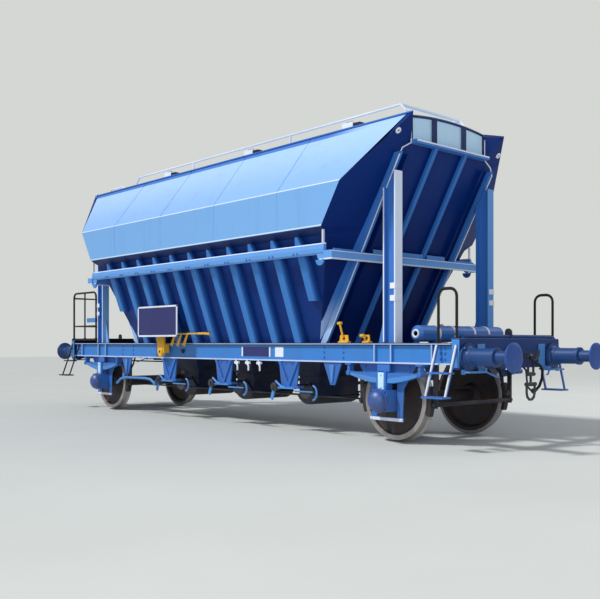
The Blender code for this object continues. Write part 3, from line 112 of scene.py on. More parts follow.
class Net:
    """A material's node tree with short ways to add to it."""

    def __init__(self, name):
        self.material = bpy.data.materials.new(name)
        self.material.use_nodes = True
        self.tree = self.material.node_tree
        self.shader = self.tree.nodes["Principled BSDF"]
        self.place = self.node("ShaderNodeTexCoord").outputs["Object"]
        split = self.node("ShaderNodeSeparateXYZ")
        self.link(self.place, split.inputs[0])
        self.x, self.y, self.z = split.outputs

    def node(self, kind, **settings):
        made = self.tree.nodes.new(kind)
        for key, value in settings.items():
            setattr(made, key, value)
        return made

    def link(self, source, target):
        self.tree.links.new(source, target)

    def put(self, value, target):
        if isinstance(value, bpy.types.NodeSocket):
            self.link(value, target)
        else:
            target.default_value = value

    def math(self, operation, first, second=0.0):
        made = self.node("ShaderNodeMath", operation=operation)
        self.put(first, made.inputs[0])
        self.put(second, made.inputs[1])
        return made.outputs[0]

    def step(self, value, low, high):
        """0 below low, 1 above high, smooth between."""
        made = self.node("ShaderNodeMapRange", interpolation_type="SMOOTHSTEP")
        self.put(value, made.inputs["Value"])
        made.inputs["From Min"].default_value = low
        made.inputs["From Max"].default_value = high
        return made.outputs[0]

    def band(self, value, low, high, soft=0.002):
        """1 from low to high, with a soft start."""
        return self.times(self.step(value, low, low + soft), self.math("LESS_THAN", value, high))

    def times(self, product, *masks):
        """The product of masks and numbers."""
        for mask in masks:
            product = self.math("MULTIPLY", product, mask)
        return product

    def noise(self, scale, detail=3.0, rough=0.5, stretch=(1, 1, 1)):
        mapping = self.node("ShaderNodeMapping")
        mapping.inputs["Scale"].default_value = stretch
        self.link(self.place, mapping.inputs["Vector"])
        made = self.node("ShaderNodeTexNoise")
        made.inputs["Scale"].default_value = scale
        made.inputs["Detail"].default_value = detail
        made.inputs["Roughness"].default_value = rough
        self.link(mapping.outputs[0], made.inputs["Vector"])
        return made.outputs["Fac"]

    def mix(self, share, first, second):
        made = self.node("ShaderNodeMix", data_type="RGBA")
        self.put(share, made.inputs[0])
        for value, socket in ((first, made.inputs[6]), (second, made.inputs[7])):
            self.put((*value, 1) if isinstance(value, tuple) else value, socket)
        return made.outputs[2]

    def bump(self, height, strength, distance=0.002):
        made = self.node("ShaderNodeBump")
        made.inputs["Strength"].default_value = strength
        made.inputs["Distance"].default_value = distance
        self.link(height, made.inputs["Height"])
        self.link(made.outputs[0], self.shader.inputs["Normal"])

    def finish(self, colour, roughness, metallic=0.0, gloss=0.5):
        self.put(colour, self.shader.inputs["Base Color"])
        self.shader.inputs["Specular IOR Level"].default_value = gloss
        self.put(roughness, self.shader.inputs["Roughness"])
        self.shader.inputs["Metallic"].default_value = metallic
        return self.material


def shaded(colour, share):
    """A colour made darker or lighter by a share."""
    return tuple(min(1.0, level * share) for level in colour)


def weathered(net, colour, dust=0.35, gloss=0.4):
    """Cloudy fading, rain streaks, dust low down and a fine uneven skin."""
    cloud = net.step(net.noise(0.9, 4), 0.35, 0.7)
    streak = net.step(net.noise(5.0, 3, 0.6, (1, 1, 0.08)), 0.5, 0.78)
    grit = net.noise(60, 4, 0.7)
    base = colour
    if isinstance(colour, tuple):
        base = net.mix(cloud, shaded(colour, 0.9), shaded(colour, 1.08))
    dark = net.mix(0.82, linear(34, 36, 48), base)
    worn = net.mix(net.math("MULTIPLY", streak, 0.45), base, dark)
    low = net.math("SUBTRACT", 1.0, net.step(net.z, 0.3, 1.5))
    dusty = net.times(low, net.step(net.noise(3.0, 5), 0.38, 0.72), dust)
    worn = net.mix(dusty, worn, linear(92, 84, 78))
    rough = net.math("ADD", net.math("MULTIPLY", net.noise(7, 4), 0.22), 0.34)
    net.bump(grit, 0.09)
    return net.finish(worn, rough, gloss=gloss)


def paint(name, *levels, dust=0.35, gloss=0.4):
    """A weathered paint of one colour."""
    return weathered(Net(name), linear(*levels), dust, gloss)


def metal(name, levels, roughness, rust=0.3):
    """Bare steel or rubber with a fine skin and patches of rust."""
    net = Net(name)
    colour = linear(*levels)
    patches = net.math("MULTIPLY", net.step(net.noise(6, 6, 0.65), 0.46, 0.66), rust)
    clean = net.mix(net.noise(25, 3), shaded(colour, 0.8), shaded(colour, 1.2))
    mixed = net.mix(patches, clean, linear(96, 66, 48))
    net.bump(net.noise(90, 4, 0.7), 0.18)
    rough = net.math("ADD", net.math("MULTIPLY", net.noise(14, 3), 0.25), roughness)
    return net.finish(mixed, rough, 0.55)


MID = (52, 112, 192)
LIGHT = (120, 172, 226)
SKY = (150, 190, 238)
NAVY = (10, 38, 94)
PALE = (214, 226, 246)


def slope_paint():
    """Ribbed slope sheets: mid blue rib faces over recesses darkened with painted shade, bare inside."""
    net = Net("ribbed slope paint")
    over = net.math("SUBTRACT", net.z, SOLE_TOP)
    line = net.math("ADD", net.math("MULTIPLY", over, SLOPE_GRADE), BASE_Y)
    depth = net.math("SUBTRACT", net.math("ABSOLUTE", net.y), line)
    # Painted shade: the recesses between the ribs are darkest at the sheet and lighten towards the rib faces.
    colour = net.mix(net.step(depth, 0.0, 0.05), linear(12, 50, 120), linear(28, 78, 152))
    colour = net.mix(net.step(depth, 0.045, 0.085), colour, linear(62, 124, 198))
    outside = net.step(depth, -0.012, -0.006)
    colour = net.mix(outside, linear(120, 124, 128), colour)
    return weathered(net, colour, gloss=0.15)


def panel_paint():
    """Upper panels painted lighter than the sheets below and paling further towards the roof: painted light
    on the upper wagon; white lines along their folds are painted highlights, and painted shade lies below the
    ledge.
    """
    net = Net("upper panel paint")
    upper = net.step(net.z, SHOULDER_Z - 0.03, SHOULDER_Z + 0.01)
    # Painted light: the slopes above the shoulder pale towards the eaves.
    painted_top_light = net.step(net.z, SHOULDER_Z, EAVES_Z + 0.03)
    slope = net.mix(painted_top_light, linear(138, 182, 236), linear(168, 204, 244))
    colour = net.mix(upper, linear(*LIGHT), slope)
    away_from_front = net.math("SUBTRACT", 1.0, net.step(net.x, 2.4, 3.3))
    eaves = net.times(net.step(net.z, EAVES_Z - 0.002, EAVES_Z + 0.004), away_from_front)
    colour = net.mix(eaves, colour, linear(70, 124, 204))
    # Painted highlights: white lines along the shoulder fold and above the ledge.
    for low, high in ((SHOULDER_Z - 0.016, SHOULDER_Z + 0.002), (PANEL_LOW_Z - 0.028, PANEL_LOW_Z - 0.01)):
        line = net.band(net.z, low, high, 0.004)
        colour = net.mix(net.times(line, 0.75), colour, linear(226, 238, 252))
    # Painted shade: navy on the panel below the ledge, in the recess under it.
    above_ledge = net.step(net.z, PANEL_LOW_Z - 0.036, PANEL_LOW_Z - 0.028)
    colour = net.mix(above_ledge, linear(10, 38, 96), colour)
    return weathered(net, colour, gloss=0.3)


def bar_paint():
    """Sole bars: a bright web, painted shade along the upper flange, and painted highlights as pale lines
    along the flange and stiffener edges.
    """
    net = Net("sole bar paint")
    # Painted shade: navy along the upper flange.
    colour = net.mix(net.step(net.z, 1.196, 1.204), linear(56, 126, 200), linear(*NAVY))
    # Painted highlights: pale lines along the upper and lower flange edges and down the stiffeners' outer
    # edges.
    upper_edge_highlight = net.band(net.z, 1.211, 1.2225, 0.0015)
    colour = net.mix(net.times(upper_edge_highlight, 0.7), colour, linear(*PALE))
    lower_edge_highlight = net.band(net.z, 0.979, 0.9985)
    colour = net.mix(lower_edge_highlight, colour, linear(190, 208, 240))
    stiffener_highlight = net.step(net.math("ABSOLUTE", net.y), 1.012, 1.014)
    stiffener_highlight = net.times(stiffener_highlight, net.band(net.z, 0.999, 1.2105, 0.001))
    colour = net.mix(net.times(stiffener_highlight, 0.8), colour, linear(176, 204, 240))
    under = net.math("LESS_THAN", net.z, 0.9795)
    colour = net.mix(under, colour, linear(50, 106, 186))
    return weathered(net, colour)


def end_paint():
    """Sloping ends: sheet and wings darkened with painted shade, darkest low down; main ribs and edge
    channels in mid blue, with a pale painted highlight low on the channels' sides.
    """
    net = Net("sloping end paint")
    below = net.math("SUBTRACT", net.z, END_TOP_Z)
    sheet = net.math("ADD", net.math("MULTIPLY", below, END_GRADE), END_TOP_X)
    depth = net.math("SUBTRACT", net.math("ABSOLUTE", net.x), sheet)
    width = net.math("ABSOLUTE", net.y)
    main = net.math("LESS_THAN", net.math("ABSOLUTE", net.math("SUBTRACT", width, 0.3)), 0.034)
    below_top = net.math("LESS_THAN", net.z, 3.57)
    edge = net.times(
        net.math("GREATER_THAN", width, 0.895), net.math("LESS_THAN", width, 0.952), below_top,
    )
    ribbed = net.times(net.math("MAXIMUM", main, edge), net.step(depth, 0.012, 0.03))
    # Painted shade: the end sheet and the foot of each rib in navy, darker towards the bottom.
    colour = net.mix(net.step(net.z, 1.4, 3.6), linear(2, 30, 92), linear(6, 44, 116))
    colour = net.mix(ribbed, colour, linear(58, 118, 196))
    reach = net.math("SUBTRACT", 1.03, net.times(net.step(net.z, 1.6, 3.55), 0.08))
    beside = net.times(
        net.math("GREATER_THAN", width, 0.945), net.math("LESS_THAN", width, reach),
        net.math("LESS_THAN", net.z, 3.55),
    )
    # Painted highlight: pale low down on the sides of the edge channels, mid blue higher up.
    channel_side_with_highlight = net.mix(net.step(net.z, 1.45, 1.9), linear(160, 190, 236), linear(62, 120, 198))
    colour = net.mix(net.times(beside, 0.85), colour, channel_side_with_highlight)
    top_flange = net.times(
        net.band(net.z, 3.655, 3.74, 0.01), net.step(depth, 0.004, 0.02),
        net.math("LESS_THAN", width, 0.76),
    )
    colour = net.mix(top_flange, colour, linear(72, 130, 206))
    return weathered(net, colour, gloss=0.12)


def post_paint():
    """Corner posts: mid-blue webs; painted highlights as pale flange edges on the right-hand posts and a
    softer light blue on the left-hand ones, with the rear posts' inboard faces lightened as painted light.
    """
    net = Net("corner post paint")
    along = net.math("ABSOLUTE", net.x)
    outer = net.step(along, POST_X + POST_HALF - 0.0025, POST_X + POST_HALF - 0.0005)
    rim = net.step(net.math("ABSOLUTE", net.y), 1.0035, 1.0045)
    pale = net.math("MAXIMUM", outer, rim)
    # Painted highlight: pale flange edges on the right-hand posts, a softer light blue on the left-hand ones.
    shown = net.mix(net.math("GREATER_THAN", net.y, 0.0), linear(*PALE), linear(84, 144, 214))
    # Painted light: the rear posts' inboard faces are lightened so that they read light blue in shade.
    inboard = net.math("LESS_THAN", along, POST_X - POST_HALF + 0.0025)
    rear_inboard = net.times(inboard, net.math("LESS_THAN", net.x, 0.0))
    colour = net.mix(rear_inboard, linear(60, 120, 200), linear(128, 178, 232))
    colour = net.mix(pale, colour, shown)
    return weathered(net, colour)


def roof_paint():
    """The crown: pale blue as painted light on the top, with painted shade darker along its sides and navy at
    its ends.
    """
    net = Net("roof paint")
    # Painted light: the crown in pale blue; painted shade: a darker strip along its sides.
    edge = net.step(net.math("ABSOLUTE", net.y), 0.915, 0.922)
    colour = net.mix(edge, linear(*SKY), linear(44, 84, 176))
    # Painted shade: navy at the crown's ends.
    colour = net.mix(net.step(net.math("ABSOLUTE", net.x), 3.69, 3.71), colour, linear(10, 38, 100))
    return weathered(net, colour, 0.2)


def waist_paint():
    """Waist rails and beams: a light face between white upper and lower edges, which are painted highlights.
    """
    net = Net("waist paint")
    height = net.math("ABSOLUTE", net.math("SUBTRACT", net.z, WAIST_MIDDLE))
    # Painted highlights: white along the upper and lower edges.
    edge = net.step(height, WAIST_HALF - 0.017, WAIST_HALF - 0.014)
    colour = net.mix(edge, linear(98, 156, 224), linear(224, 236, 252))
    return weathered(net, colour)


def ladder_paint():
    """The end ladder: black, with a white hoop above the roof line."""
    net = Net("ladder paint")
    colour = net.mix(net.step(net.z, 3.86, 3.88), linear(22, 23, 28), linear(232, 238, 246))
    return weathered(net, colour, 0.2)


MATERIALS = {
    "slope": slope_paint(),
    "panel": panel_paint(),
    "bar": bar_paint(),
    "end": end_paint(),
    "post": post_paint(),
    "roof": roof_paint(),
    "waist": waist_paint(),
    "ladder": ladder_paint(),
    "mid": paint("mid blue paint", *MID),
    "bright": paint("bright blue paint", 74, 138, 210),
    # A lighter paint for the end panels, brightened further as painted light so that they read light blue in
    # shade; the spring buckles use it too.
    "light": paint("light blue paint", 190, 226, 255, dust=0.1, gloss=0.25),
    "navy": paint("navy paint", *NAVY, gloss=0.2),
    "white": paint("white paint", 226, 232, 242, dust=0.2),
    "black": paint("black paint", 22, 23, 28, dust=0.25),
    "yellow": paint("yellow paint", 232, 176, 44, dust=0.2),
    # Painted shade: the bay funnels darkened to near black, as the shade under the hopper.
    "underparts": paint("underframe paint", 18, 32, 66, dust=0.5, gloss=0.2),
    "plate": paint("blank plate enamel", 44, 48, 104, dust=0.2),
    "frame": paint("end frame paint", 22, 56, 116, gloss=0.3),
    "dome": paint("axlebox cover paint", 28, 76, 150, dust=0.2, gloss=0.9),
    "buffer": paint("buffer blue paint", 26, 68, 126),
    "head": metal("buffer head steel", (58, 92, 166), 0.4, 0.12),
    "dark": paint("dark undergear paint", 30, 34, 48, dust=0.6),
    "wheel": metal("wheel steel", (66, 62, 64), 0.45, 0.45),
    "tread": metal("bright worn steel", (164, 160, 158), 0.28, 0.1),
    "gate": metal("gate steel", (70, 72, 80), 0.4, 0.4),
    "rubber": metal("hose rubber", (26, 26, 28), 0.6, 0.05),
}

NODE_PAINT = {
    "side_sheet": "slope",
    "side_panel": "panel",
    "end_slope": "end",
    "end_panel": "light",
    "roof_crown": "roof",
    "roof_rail": "white",
    "waist_rail": "waist",
    "waist_beam": "waist",
    "corner_post": "post",
    "sole_bar": "bar",
    "end_frame": "frame",
    "buffer": "mid",
    "draw_gear": "dark",
    "wheelset": "wheel",
    "axle_guard": "mid",
    "spring_box": "mid",
    "bay_funnel": "underparts",
    "bay_gate": "gate",
    "hatch_lid": "navy",
    "air_tank": "mid",
    "rear_platform": "black",
    "rear_steps": "black",
    "front_steps": "mid",
    "hand_hoop": "black",
    "end_ladder": "ladder",
    "lever_stand": "yellow",
}

for node_name, node in NODES.items():
    kind = next(key for key in NODE_PAINT if node_name.startswith(key))
    node.data.materials.clear()
    node.data.materials.append(MATERIALS[NODE_PAINT[kind]])


SENSOR = 36.0
PICTURE_WIDTH = 600
FOCAL_PIXELS = 835
SHIFT_PIXELS = 43.5


def make_camera():
    """The drawing's viewpoint: level, 1.23 m up, with the picture shifted to frame the wagon."""
    data = bpy.data.cameras.new("camera")
    data.sensor_fit = "HORIZONTAL"
    data.sensor_width = SENSOR
    data.lens = SENSOR * FOCAL_PIXELS / PICTURE_WIDTH
    data.shift_y = SHIFT_PIXELS / PICTURE_WIDTH
    camera = bpy.data.objects.new("camera", data)
    camera.location = (10.40, -8.58, 1.23)
    camera.rotation_euler = (math.pi / 2, 0, math.atan2(0.744, 0.668))
    bpy.context.scene.collection.objects.link(camera)
    bpy.context.scene.camera = camera


def make_light(name, kind, energy, place, aim, size=1.0):
    """A lamp turned towards its aim. Size is an area lamp's side, or a sun's angle."""
    data = bpy.data.lights.new(name, kind)
    data.energy = energy
    if kind == "AREA":
        data.size = size
    else:
        data.angle = size
    lamp = bpy.data.objects.new(name, data)
    lamp.location = place
    lamp.rotation_euler = (Vector(aim) - Vector(place)).to_track_quat("-Z", "Y").to_euler()
    bpy.context.scene.collection.objects.link(lamp)


def make_world():
    """Soft sky light on the wagon, and a plain grey backdrop for the camera."""
    world = bpy.data.worlds.new("studio")
    bpy.context.scene.world = world
    world.use_nodes = True
    tree = world.node_tree
    shown = tree.nodes["Background"]
    shown.inputs[0].default_value = (0.80, 0.84, 0.92, 1)
    shown.inputs[1].default_value = 0.42
    seen = tree.nodes.new("ShaderNodeBackground")
    seen.inputs[0].default_value = (*linear(212, 215, 211), 1)
    seen.inputs[1].default_value = 1.0
    rays = tree.nodes.new("ShaderNodeLightPath")
    pick = tree.nodes.new("ShaderNodeMixShader")
    tree.links.new(rays.outputs["Is Camera Ray"], pick.inputs[0])
    tree.links.new(shown.outputs[0], pick.inputs[1])
    tree.links.new(seen.outputs[0], pick.inputs[2])
    tree.links.new(pick.outputs[0], tree.nodes["World Output"].inputs[0])


def make_floor():
    """A pale studio floor at the wheels' foot."""
    bm = bmesh.new()
    bmesh.ops.create_grid(bm, x_segments=1, y_segments=1, size=60)
    mesh = bpy.data.meshes.new("floor")
    bm.to_mesh(mesh)
    bm.free()
    floor = bpy.data.objects.new("floor", mesh)
    bpy.context.scene.collection.objects.link(floor)
    net = Net("studio floor")
    colour = net.mix(net.noise(0.5, 3), linear(196, 199, 195), linear(206, 209, 205))
    net.shader.inputs["Specular IOR Level"].default_value = 0.1
    floor.data.materials.append(net.finish(colour, 0.9))


bpy.context.scene.view_settings.view_transform = "Standard"
make_camera()
make_light("key", "SUN", 2.6, (-5, -11, 14), (0, 0, 0), 0.12)
make_light("fill", "AREA", 560, (14, -12, 6), (0, 0, 2), 8.0)
make_light("rim", "AREA", 350, (6, 12, 9), (0, 0, 2), 8.0)
make_world()
make_floor()


class Shape:
    """Gathers boxes, bars, plates and turned forms into one mesh."""

    def __init__(self):
        self.bm = bmesh.new()

    def box(self, x, y, z, turn=None):
        """A box between two places on each axis, turned about its middle if asked."""
        spans = [sorted(pair) for pair in (x, y, z)]
        middle = Vector([(low + high) / 2 for low, high in spans])
        size = [high - low for low, high in spans]
        matrix = Matrix.Translation(middle) @ (turn or Matrix.Identity(4)) @ Matrix.Diagonal((*size, 1))
        bmesh.ops.create_cube(self.bm, size=1, matrix=matrix)
        return self

    def bar(self, points, radius, steps=10, closed=False):
        """A round bar along points, with square-cut ends."""
        points = [Vector(point) for point in points]
        count = len(points)
        rings = []
        for i, point in enumerate(points):
            before = points[i - 1] if (i or closed) else point
            after = points[(i + 1) % count] if (i + 1 < count or closed) else point
            first = (point - before).normalized() if (point - before).length else Vector()
            second = (after - point).normalized() if (after - point).length else Vector()
            ahead = (first + second).normalized()
            cosine = max(0.35, ahead.dot(first if first.length else second))
            if i == 0:
                side = ahead.orthogonal().normalized()
            else:
                side = (side - ahead * side.dot(ahead)).normalized()
            across = ahead.cross(side)
            bend = first - second
            out = bend.normalized() if bend.length > 1e-4 else None
            ring = []
            for k in range(steps):
                angle = 2 * math.pi * k / steps
                offset = (side * math.cos(angle) + across * math.sin(angle)) * radius
                if out:
                    lean = out - ahead * out.dot(ahead)
                    if lean.length > 1e-4:
                        lean.normalize()
                        offset += lean * offset.dot(lean) * (1 / cosine - 1)
                ring.append(self.bm.verts.new(point + offset))
            rings.append(ring)
        pairs = list(zip(rings, rings[1:]))
        if closed:
            pairs.append((rings[-1], rings[0]))
        for low, high in pairs:
            for k in range(steps):
                j = (k + 1) % steps
                self.bm.faces.new((low[k], low[j], high[j], high[k]))
        if not closed:
            self.bm.faces.new(reversed(rings[0]))
            self.bm.faces.new(rings[-1])
        return self

    def plate(self, outline, low, high, plane="xz"):
        """A flat outline with its thickness across the named plane."""
        def at(u, v, w):
            return {"xz": (u, w, v), "yz": (w, u, v), "xy": (u, v, w)}[plane]

        near = [self.bm.verts.new(at(u, v, low)) for u, v in outline]
        far = [self.bm.verts.new(at(u, v, high)) for u, v in outline]
        self.bm.faces.new(near)
        self.bm.faces.new(reversed(far))
        for i, first in enumerate(near):
            j = (i + 1) % len(near)
            self.bm.faces.new((near[j], first, far[i], far[j]))
        return self

    def turned(self, profile, matrix, steps=32, caps=True):
        """A profile of (radius, height) turned about Z and then placed."""
        rings = []
        for radius, height in profile:
            if radius < 1e-5:
                rings.append([self.bm.verts.new(matrix @ Vector((0, 0, height)))])
                continue
            ring = []
            for k in range(steps):
                angle = 2 * math.pi * k / steps
                spot = Vector((radius * math.cos(angle), radius * math.sin(angle), height))
                ring.append(self.bm.verts.new(matrix @ spot))
            rings.append(ring)
        for low, high in zip(rings, rings[1:]):
            for k in range(steps):
                j = (k + 1) % steps
                if len(low) == 1 and len(high) == 1:
                    break
                if len(low) == 1:
                    self.bm.faces.new((low[0], high[j], high[k]))
                elif len(high) == 1:
                    self.bm.faces.new((low[k], low[j], high[0]))
                else:
                    self.bm.faces.new((low[k], low[j], high[j], high[k]))
        for ring, turned in ((rings[0], False), (rings[-1], True)):
            if caps and len(ring) > 1:
                self.bm.faces.new(ring if turned else list(reversed(ring)))
        return self

    def bolts(self, places, axis, size=0.014, height=0.012):
        """Hexagon heads on washers at places, standing out along an axis."""
        turn = Vector(axis).to_track_quat("Z", "Y").to_matrix().to_4x4()
        for place in places:
            matrix = Matrix.Translation(place) @ turn
            self.turned([(size * 1.35, 0), (size * 1.35, 0.003)], matrix, 12)
            self.turned([(size, 0.003), (size, height), (size * 0.85, height * 1.15)], matrix, 6)
        return self


def add(name, shape, material, body="wagon", bevel=0.0):
    """Turns a shape into a named piece that rides on a body."""
    mesh = bpy.data.meshes.new(name)
    bmesh.ops.recalc_face_normals(shape.bm, faces=shape.bm.faces)
    shape.bm.to_mesh(mesh)
    shape.bm.free()
    piece = bpy.data.objects.new(name, mesh)
    bpy.context.scene.collection.objects.link(piece)
    mesh.materials.append(MATERIALS[material])
    if bevel:
        rounding = piece.modifiers.new("bevel", "BEVEL")
        rounding.width = bevel
        rounding.segments = 2
        rounding.limit_method = "ANGLE"
        rounding.angle_limit = math.radians(40)
    mesh.shade_smooth()
    mesh.set_sharp_from_angle(angle=math.radians(38))
    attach(piece, body)
    return piece


def circle(middle, radius, start, end, steps):
    """Points along an arc between two angles in degrees."""
    angles = [math.radians(start + (end - start) * i / steps) for i in range(steps + 1)]
    return [(middle[0] + radius * math.cos(a), middle[1] + radius * math.sin(a)) for a in angles]


def across(place):
    """Turns Z to point along -Y at a place."""
    return Matrix.Translation(place) @ Matrix.Rotation(math.pi / 2, 4, "X")


HATCH_HALF_X = 0.325
HATCH_HALF_Y = 0.275
LOCK_Y = 0.78
SEAM_RADIUS = 0.0025


def make_roof_details():
    """Edge trims, rail feet, hatch frames, lock boxes and seams, and the grips of the lids."""
    trims, feet, seams = Shape(), Shape(), Shape()
    for side in SIDES:
        trims.box((-3.89, 3.89), (side * 0.926, side * 0.942), (3.984, 4.004))
        for x in (-2.95, -1.144, 1.307, 3.5):
            place = (x, side * 0.6, crown_z(0.6) - 0.004)
            feet.turned([(0.045, 0), (0.045, 0.012), (0.028, 0.02)], Matrix.Translation(place), 20)
        for x in (-2.1, -0.7, 0.7, 2.1):
            shoulder = (x, side * PANEL_Y, SHOULDER_Z)
            seams.bar([shoulder, (x, side * 0.94, 3.972)], SEAM_RADIUS, 6)
            seams.bar([(x, side * PANEL_Y, PANEL_LOW_Z), shoulder], SEAM_RADIUS, 6)
    for x in HATCHES:
        for end in ENDS:
            along, over = end * HATCH_HALF_X, end * HATCH_HALF_Y
            frame_z = (4.045, 4.092)
            feet.box((x + along, x + along + end * 0.05), (-0.325, 0.325), frame_z)
            feet.box((x - 0.375, x + 0.375), (over, over + end * 0.05), frame_z)
    locks, lock_lids = Shape(), Shape()
    foot = crown_z(LOCK_Y) - 0.012
    for side in SIDES:
        y = side * LOCK_Y
        for x in (-1.58, 0.61, 2.69):
            locks.box((x - 0.10, x + 0.10), (y - 0.05, y + 0.05), (foot, 4.11))
            lock_lids.box((x + 0.101, x + 0.22), (y - 0.045, y + 0.045), (foot, 4.085))
            lock_lids.bar([(x + 0.05, y, 4.10), (x + 0.05, y, 4.125), (x - 0.06, y, 4.125)], 0.008, 8)
            locks.box((x - 0.085, x + 0.085), (y - side * 0.058, y - side * 0.046), (foot + 0.03, 4.09))
        locks.box((-3.885, -3.83), (side * 0.90, side * 0.94), (3.97, 4.03))
    add("hatch_lock_boxes", locks, "white", bevel=0.006)
    add("hatch_lock_levers", lock_lids, "dark", bevel=0.004)
    add("roof_edge_trims", trims, "mid", bevel=0.003)
    add("hatch_frames_and_rail_feet", feet, "white", bevel=0.003)
    add("side_weld_seams", seams, "panel")
    for i, x in enumerate(HATCHES, 1):
        left, right = x - 0.12, x + 0.12
        grip = [(left, -0.16, 4.176), (left, -0.16, 4.205), (right, -0.16, 4.205), (right, -0.16, 4.176)]
        lid = Shape().bar(grip, 0.009)
        for y in (-0.06, 0.06, 0.17):
            lid.box((x - 0.31, x + 0.31), (y - 0.012, y + 0.012), (4.174, 4.184))
        lid.bolts([(x + dx, -0.25, 4.176) for dx in (-0.3, 0, 0.3)], (0, 0, 1), 0.016, 0.014)
        add(f"hatch_lid_{i}_grip", lid, "dark", f"hatch_lid_{i}", bevel=0.002)


def make_end_details():
    """White lines as painted highlights along the end channels and beam faces, panel straps, upstands on the
    beams, corner lobes and lugs at both ends.
    """
    for end, label in END_NAMES.items():
        lines, straps, upstands = Shape(), Shape(), Shape()
        beam_face = (end * 3.05, end * 3.064)
        upstand_z = (2.355, 2.43)
        for side in SIDES:
            # Painted highlight: a white line down the edge of each end channel.
            path = [
                (end_x(1.26) + 0.104, 0.949, 1.26), (end_x(3.5) + 0.104, 0.949, 3.5),
                (end_x(3.56) + 0.08, 0.90, 3.6), (3.715, 0.752, 3.68), (3.715, 0.752, 3.95),
            ]
            lines.bar([(end * x, side * y, z) for x, y, z in path], 0.008, 8)
            post = end * POST_X
            for z in (1.74, 1.89):
                mark_z = (z, z + 0.07)
                lines.box((post + end * 0.02, post + end * 0.104), (side * 1.003, side * 1.013), mark_z)
                lines.box((post + end * 0.099, post + end * 0.106), (side * 0.90, side * 1.013), mark_z)
            lines.box((end * 2.915, end * 2.93), (side * 1.465, side * 1.50), (2.46, 2.636))
            lobe = circle((end * 2.872, 2.262), 0.072, 180, 360, 12)
            upstands.plate(lobe, side * 1.478, side * 1.498)
            add_lug(lines, NODES[f"end_slope_{label}"], end, side)
            straps.box((end * 3.711, end * 3.716), (side * 0.25, side * 0.35), (3.722, crown_z(0.35) - 0.024))
            straps.bar([(end * 3.706, side * 0.722, 3.735), (end * 3.706, side * 0.722, 4.0)], 0.010, 8)
            upstands.box(beam_face, (side * 0.345, side * 0.725), upstand_z)
            upstands.box((end * 3.03, end * 3.044), (side * 1.0, side * 1.42), (2.355, 2.40))
        upstands.box(beam_face, (-0.255, 0.255), upstand_z)
        lines.box((end * 3.799, end * 3.806), (-0.738, 0.738), (3.694, 3.713))
        # Painted highlights: a white double line along the face of the waist beam.
        for z in (2.264, 2.354):
            lines.box((end * 3.094, end * 3.102), (-1.5, 1.5), (z, z + 0.009))
        across_panel = [0.72 - 0.12 * i for i in range(13)]
        straps.bar([(end * 3.706, y, crown_z(y) - 0.022) for y in across_panel], 0.012, 8)
        add(f"end_lines_{label}", lines, "white", bevel=0.002)
        add(f"end_panel_straps_{label}", straps, "navy", bevel=0.0015)
        add(f"beam_upstands_{label}", upstands, "bright", bevel=0.002)


def add_lug(shape, sheet, end, side):
    """A flat ring on the corner of a sloping end, where a ray along X meets its sheet."""
    hit, place, out, _ = sheet.ray_cast((end * 4.4, side * 1.02, 3.78), (-end, 0, 0))
    if hit:
        turn = out.to_track_quat("Z", "Y").to_matrix().to_4x4()
        ring = [(0.014, -0.004), (0.014, 0.012), (0.034, 0.012), (0.04, 0.006), (0.04, -0.004)]
        shape.turned(ring, Matrix.Translation(place) @ turn, 24)


def make_side_plates():
    """Blank plates on the near side and their frames, with a white square beside them."""
    near, far = -1.254, -1.268
    left, right, low, high = -1.80, -0.63, 1.33, 1.83
    plate = Shape().box((left + 0.02, right - 0.02), (near - 0.003, far + 0.002), (low + 0.02, high - 0.02))
    corners = [(x, far + 0.002, z) for x in (left + 0.06, right - 0.06) for z in (low + 0.06, high - 0.06)]
    plate.bolts(corners, (0, -1, 0), 0.009, 0.006)
    add("side_plate_blank", plate, "plate", bevel=0.001)
    rim = Shape()
    for x in ((left, left + 0.028), (right - 0.028, right)):
        rim.box(x, (near, far - 0.004), (low, high))
    for z in ((low, low + 0.028), (high - 0.028, high)):
        rim.box((left, right), (near, far - 0.004), z)
    for x in (-1.455, -0.97):
        rim.box((x - 0.02, x + 0.02), (-1.05, near - 0.001), (low + 0.01, low + 0.02))
    add("side_plate_frame", rim, "white", bevel=0.003)
    for side, label in SIDE_NAMES.items():
        face = side * 0.987
        square = Shape().box((1.42, 1.60), (face, face + side * 0.004), (1.035, 1.175))
        for x in (0.66, 1.29):
            square.box((x, x + 0.03), (face, face + side * 0.006), (1.035, 1.175))
        add(f"sole_bar_square_{label}", square, "white", bevel=0.001)
        proud = face + side * 0.005
        blank = Shape().box((0.70, 1.28), (face, proud), (1.04, 1.17))
        blank.bolts([(x, proud, z) for x in (0.73, 1.25) for z in (1.06, 1.15)], (0, side, 0), 0.006, 0.004)
        add(f"sole_bar_blank_{label}", blank, "plate", bevel=0.001)


